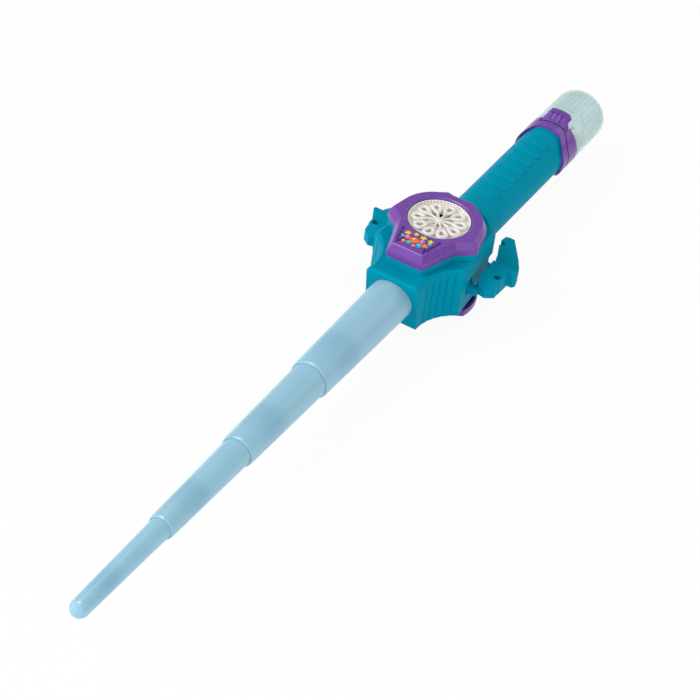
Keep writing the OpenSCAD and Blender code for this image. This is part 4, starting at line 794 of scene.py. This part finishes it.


# Small fittings: dark floors of painted shade in the wings' square holes, and screw heads with cross recesses

def make_hole_painted_shade_floors():
    """Dark floor in each wing's square hole, painted shade for the hole's inside: reach is half width over
    the larger of sine and cosine.
    """
    turn = np.linspace(0, 2 * np.pi, 16, endpoint=False)
    across, along = np.cos(turn), np.sin(turn)
    square = 1 / np.maximum(np.abs(across), np.abs(along))
    half = np.array([0, HOLE_HALF, HOLE_HALF, 0])[:, None]
    level = np.array([HOLE_FLOOR_TOP, HOLE_FLOOR_TOP, HOLE_FLOOR_LOW, HOLE_FLOOR_LOW])[:, None]
    faces = grid_faces(4, len(turn), round_cols=True)
    for body, side in (("wing_right", 1), ("wing_left", -1)):
        rows = (side * (HOLE_X + half * square * across), HOLE_Y + half * square * along, level)
        points = np.stack(np.broadcast_arrays(*rows), axis=-1)
        # Dark sheet of painted shade at the bottom of the hole
        put(body + "_hole_painted_shade_floor", points, faces, dark, body)


def make_screw_heads():
    """Heads seen from below: a shallow dome on a square grid bent to a disc, sunk where the cross lies."""
    places = [(sx * x, y, BLADE_Z - 19.7) for sx in (-1, 1) for x, y in ((24.0, -26.0), (16.5, 29.5))]
    places.append((0.0, 138.2, GRIP_Z - 18.9))
    count = 41
    across = np.linspace(-1, 1, count)
    u, v = np.meshgrid(across, across, indexing="ij")
    head_r, dome, recess, foot = 2.35, 0.35, 0.6, 0.45
    x = head_r * u * np.sqrt(1 - v * v / 2)
    y = head_r * v * np.sqrt(1 - u * u / 2)
    arm, half = 0.36, 1.45
    in_cross = ((np.abs(x) < arm) & (np.abs(y) < half)) | ((np.abs(y) < arm) & (np.abs(x) < half))
    drop = dome * (1 - (x * x + y * y) / head_r ** 2) - recess * in_cross
    outer = np.stack([x, y, -drop - 0.05], axis=-1)
    inner = np.stack([x, y, np.full_like(x, foot)], axis=-1)
    faces = grid_faces(count, count)
    number = np.arange(count * count).reshape(count, count)
    edge = np.concatenate([number[0], number[1:, -1], number[-1, -2::-1], number[-2:0:-1, 0]])
    after = np.roll(edge, -1)
    rim = np.stack([edge, after, after + number.size, edge + number.size], axis=-1)
    quads = np.concatenate([faces[:, ::-1], faces + number.size, rim])
    shell = np.concatenate([outer.reshape(-1, 3), inner.reshape(-1, 3)])
    points = np.concatenate([shell + np.array(place) for place in places])
    all_quads = np.concatenate([quads + len(shell) * i for i in range(len(places))])
    put("screw_heads", points, all_quads, steel, "hilt", crease=30.0)


make_blade()
make_grip()
make_bottle()
make_wheel()
make_cover()
make_dish()
make_print()
make_hole_painted_shade_floors()
make_screw_heads()


# Stage and light

def make_stage():
    """Pale floor seen as near white, with the soft shadow of the wand kept in it."""
    size = 6.0
    mesh = bpy.data.meshes.new("floor")
    corners = np.array([[-size, -size, 0], [size, -size, 0], [size, size, 0], [-size, size, 0]])
    mesh.from_pydata(corners.tolist(), [], [[0, 1, 2, 3]])
    floor = bpy.data.objects.new("floor", mesh)
    scene.collection.objects.link(floor)
    material, tree, shader = new_material("pale_floor")
    shader.inputs["Base Color"].default_value = (0.9, 0.9, 0.9, 1)
    shader.inputs["Roughness"].default_value = 0.9
    shader.inputs["Specular IOR Level"].default_value = 0.0
    glow = tree.nodes.new("ShaderNodeEmission")
    rays = tree.nodes.new("ShaderNodeLightPath")
    seen = tree.nodes.new("ShaderNodeMath")
    seen.operation = "MAXIMUM"
    tree.links.new(rays.outputs["Is Camera Ray"], seen.inputs[0])
    also = tree.nodes.new("ShaderNodeMath")
    also.operation = "MAXIMUM"
    tree.links.new(rays.outputs["Is Glossy Ray"], also.inputs[0])
    tree.links.new(rays.outputs["Is Transmission Ray"], also.inputs[1])
    tree.links.new(also.outputs[0], seen.inputs[1])
    share = tree.nodes.new("ShaderNodeMath")
    share.operation = "MULTIPLY"
    share.inputs[1].default_value = FLOOR_GLOW
    tree.links.new(seen.outputs[0], share.inputs[0])
    mix = tree.nodes.new("ShaderNodeMixShader")
    tree.links.new(share.outputs[0], mix.inputs["Fac"])
    tree.links.new(shader.outputs["BSDF"], mix.inputs[1])
    tree.links.new(glow.outputs["Emission"], mix.inputs[2])
    tree.links.new(mix.outputs[0], tree.nodes["Material Output"].inputs["Surface"])
    mesh.materials.append(material)


def area_light(name, place, aim, size, power, glints_only=False):
    """Square soft light at a place, turned to its aim; one for glints is seen only in gloss."""
    data = bpy.data.lights.new(name, "AREA")
    data.size = size
    data.energy = power
    light = bpy.data.objects.new(name, data)
    light.location = place
    light.rotation_euler = (Vector(aim) - Vector(place)).to_track_quat("-Z", "Y").to_euler()
    light.visible_diffuse = not glints_only
    scene.collection.objects.link(light)


def make_light():
    """Even surroundings, white to the camera; a large key from the upper left; fill, back and edge lights."""
    world = bpy.data.worlds.new("surroundings")
    world.use_nodes = True
    tree = world.node_tree
    tree.nodes["Background"].inputs["Color"].default_value = (1, 1, 1, 1)
    rays = tree.nodes.new("ShaderNodeLightPath")
    strength = tree.nodes.new("ShaderNodeMath")
    strength.operation = "MULTIPLY_ADD"
    strength.inputs[1].default_value = 1 - WORLD_LEVEL
    strength.inputs[2].default_value = WORLD_LEVEL
    tree.links.new(rays.outputs["Is Camera Ray"], strength.inputs[0])
    tree.links.new(strength.outputs[0], tree.nodes["Background"].inputs["Strength"])
    scene.world = world
    area_light("key", (-1.6, -1.4, 1.4), (0, -0.1, 0.05), 2.4, 52.0)
    area_light("back", (0.6, 1.3, 0.9), (0, 0.0, 0.05), 1.2, 6.0)
    area_light("fill", (1.2, -1.5, 0.7), (0, -0.05, 0.03), 1.3, 13.0)
    area_light("edges", (-0.45, -0.1, 1.3), (0, -0.05, 0.05), 0.5, 24.0, glints_only=True)


place_camera()
make_stage()
make_light()
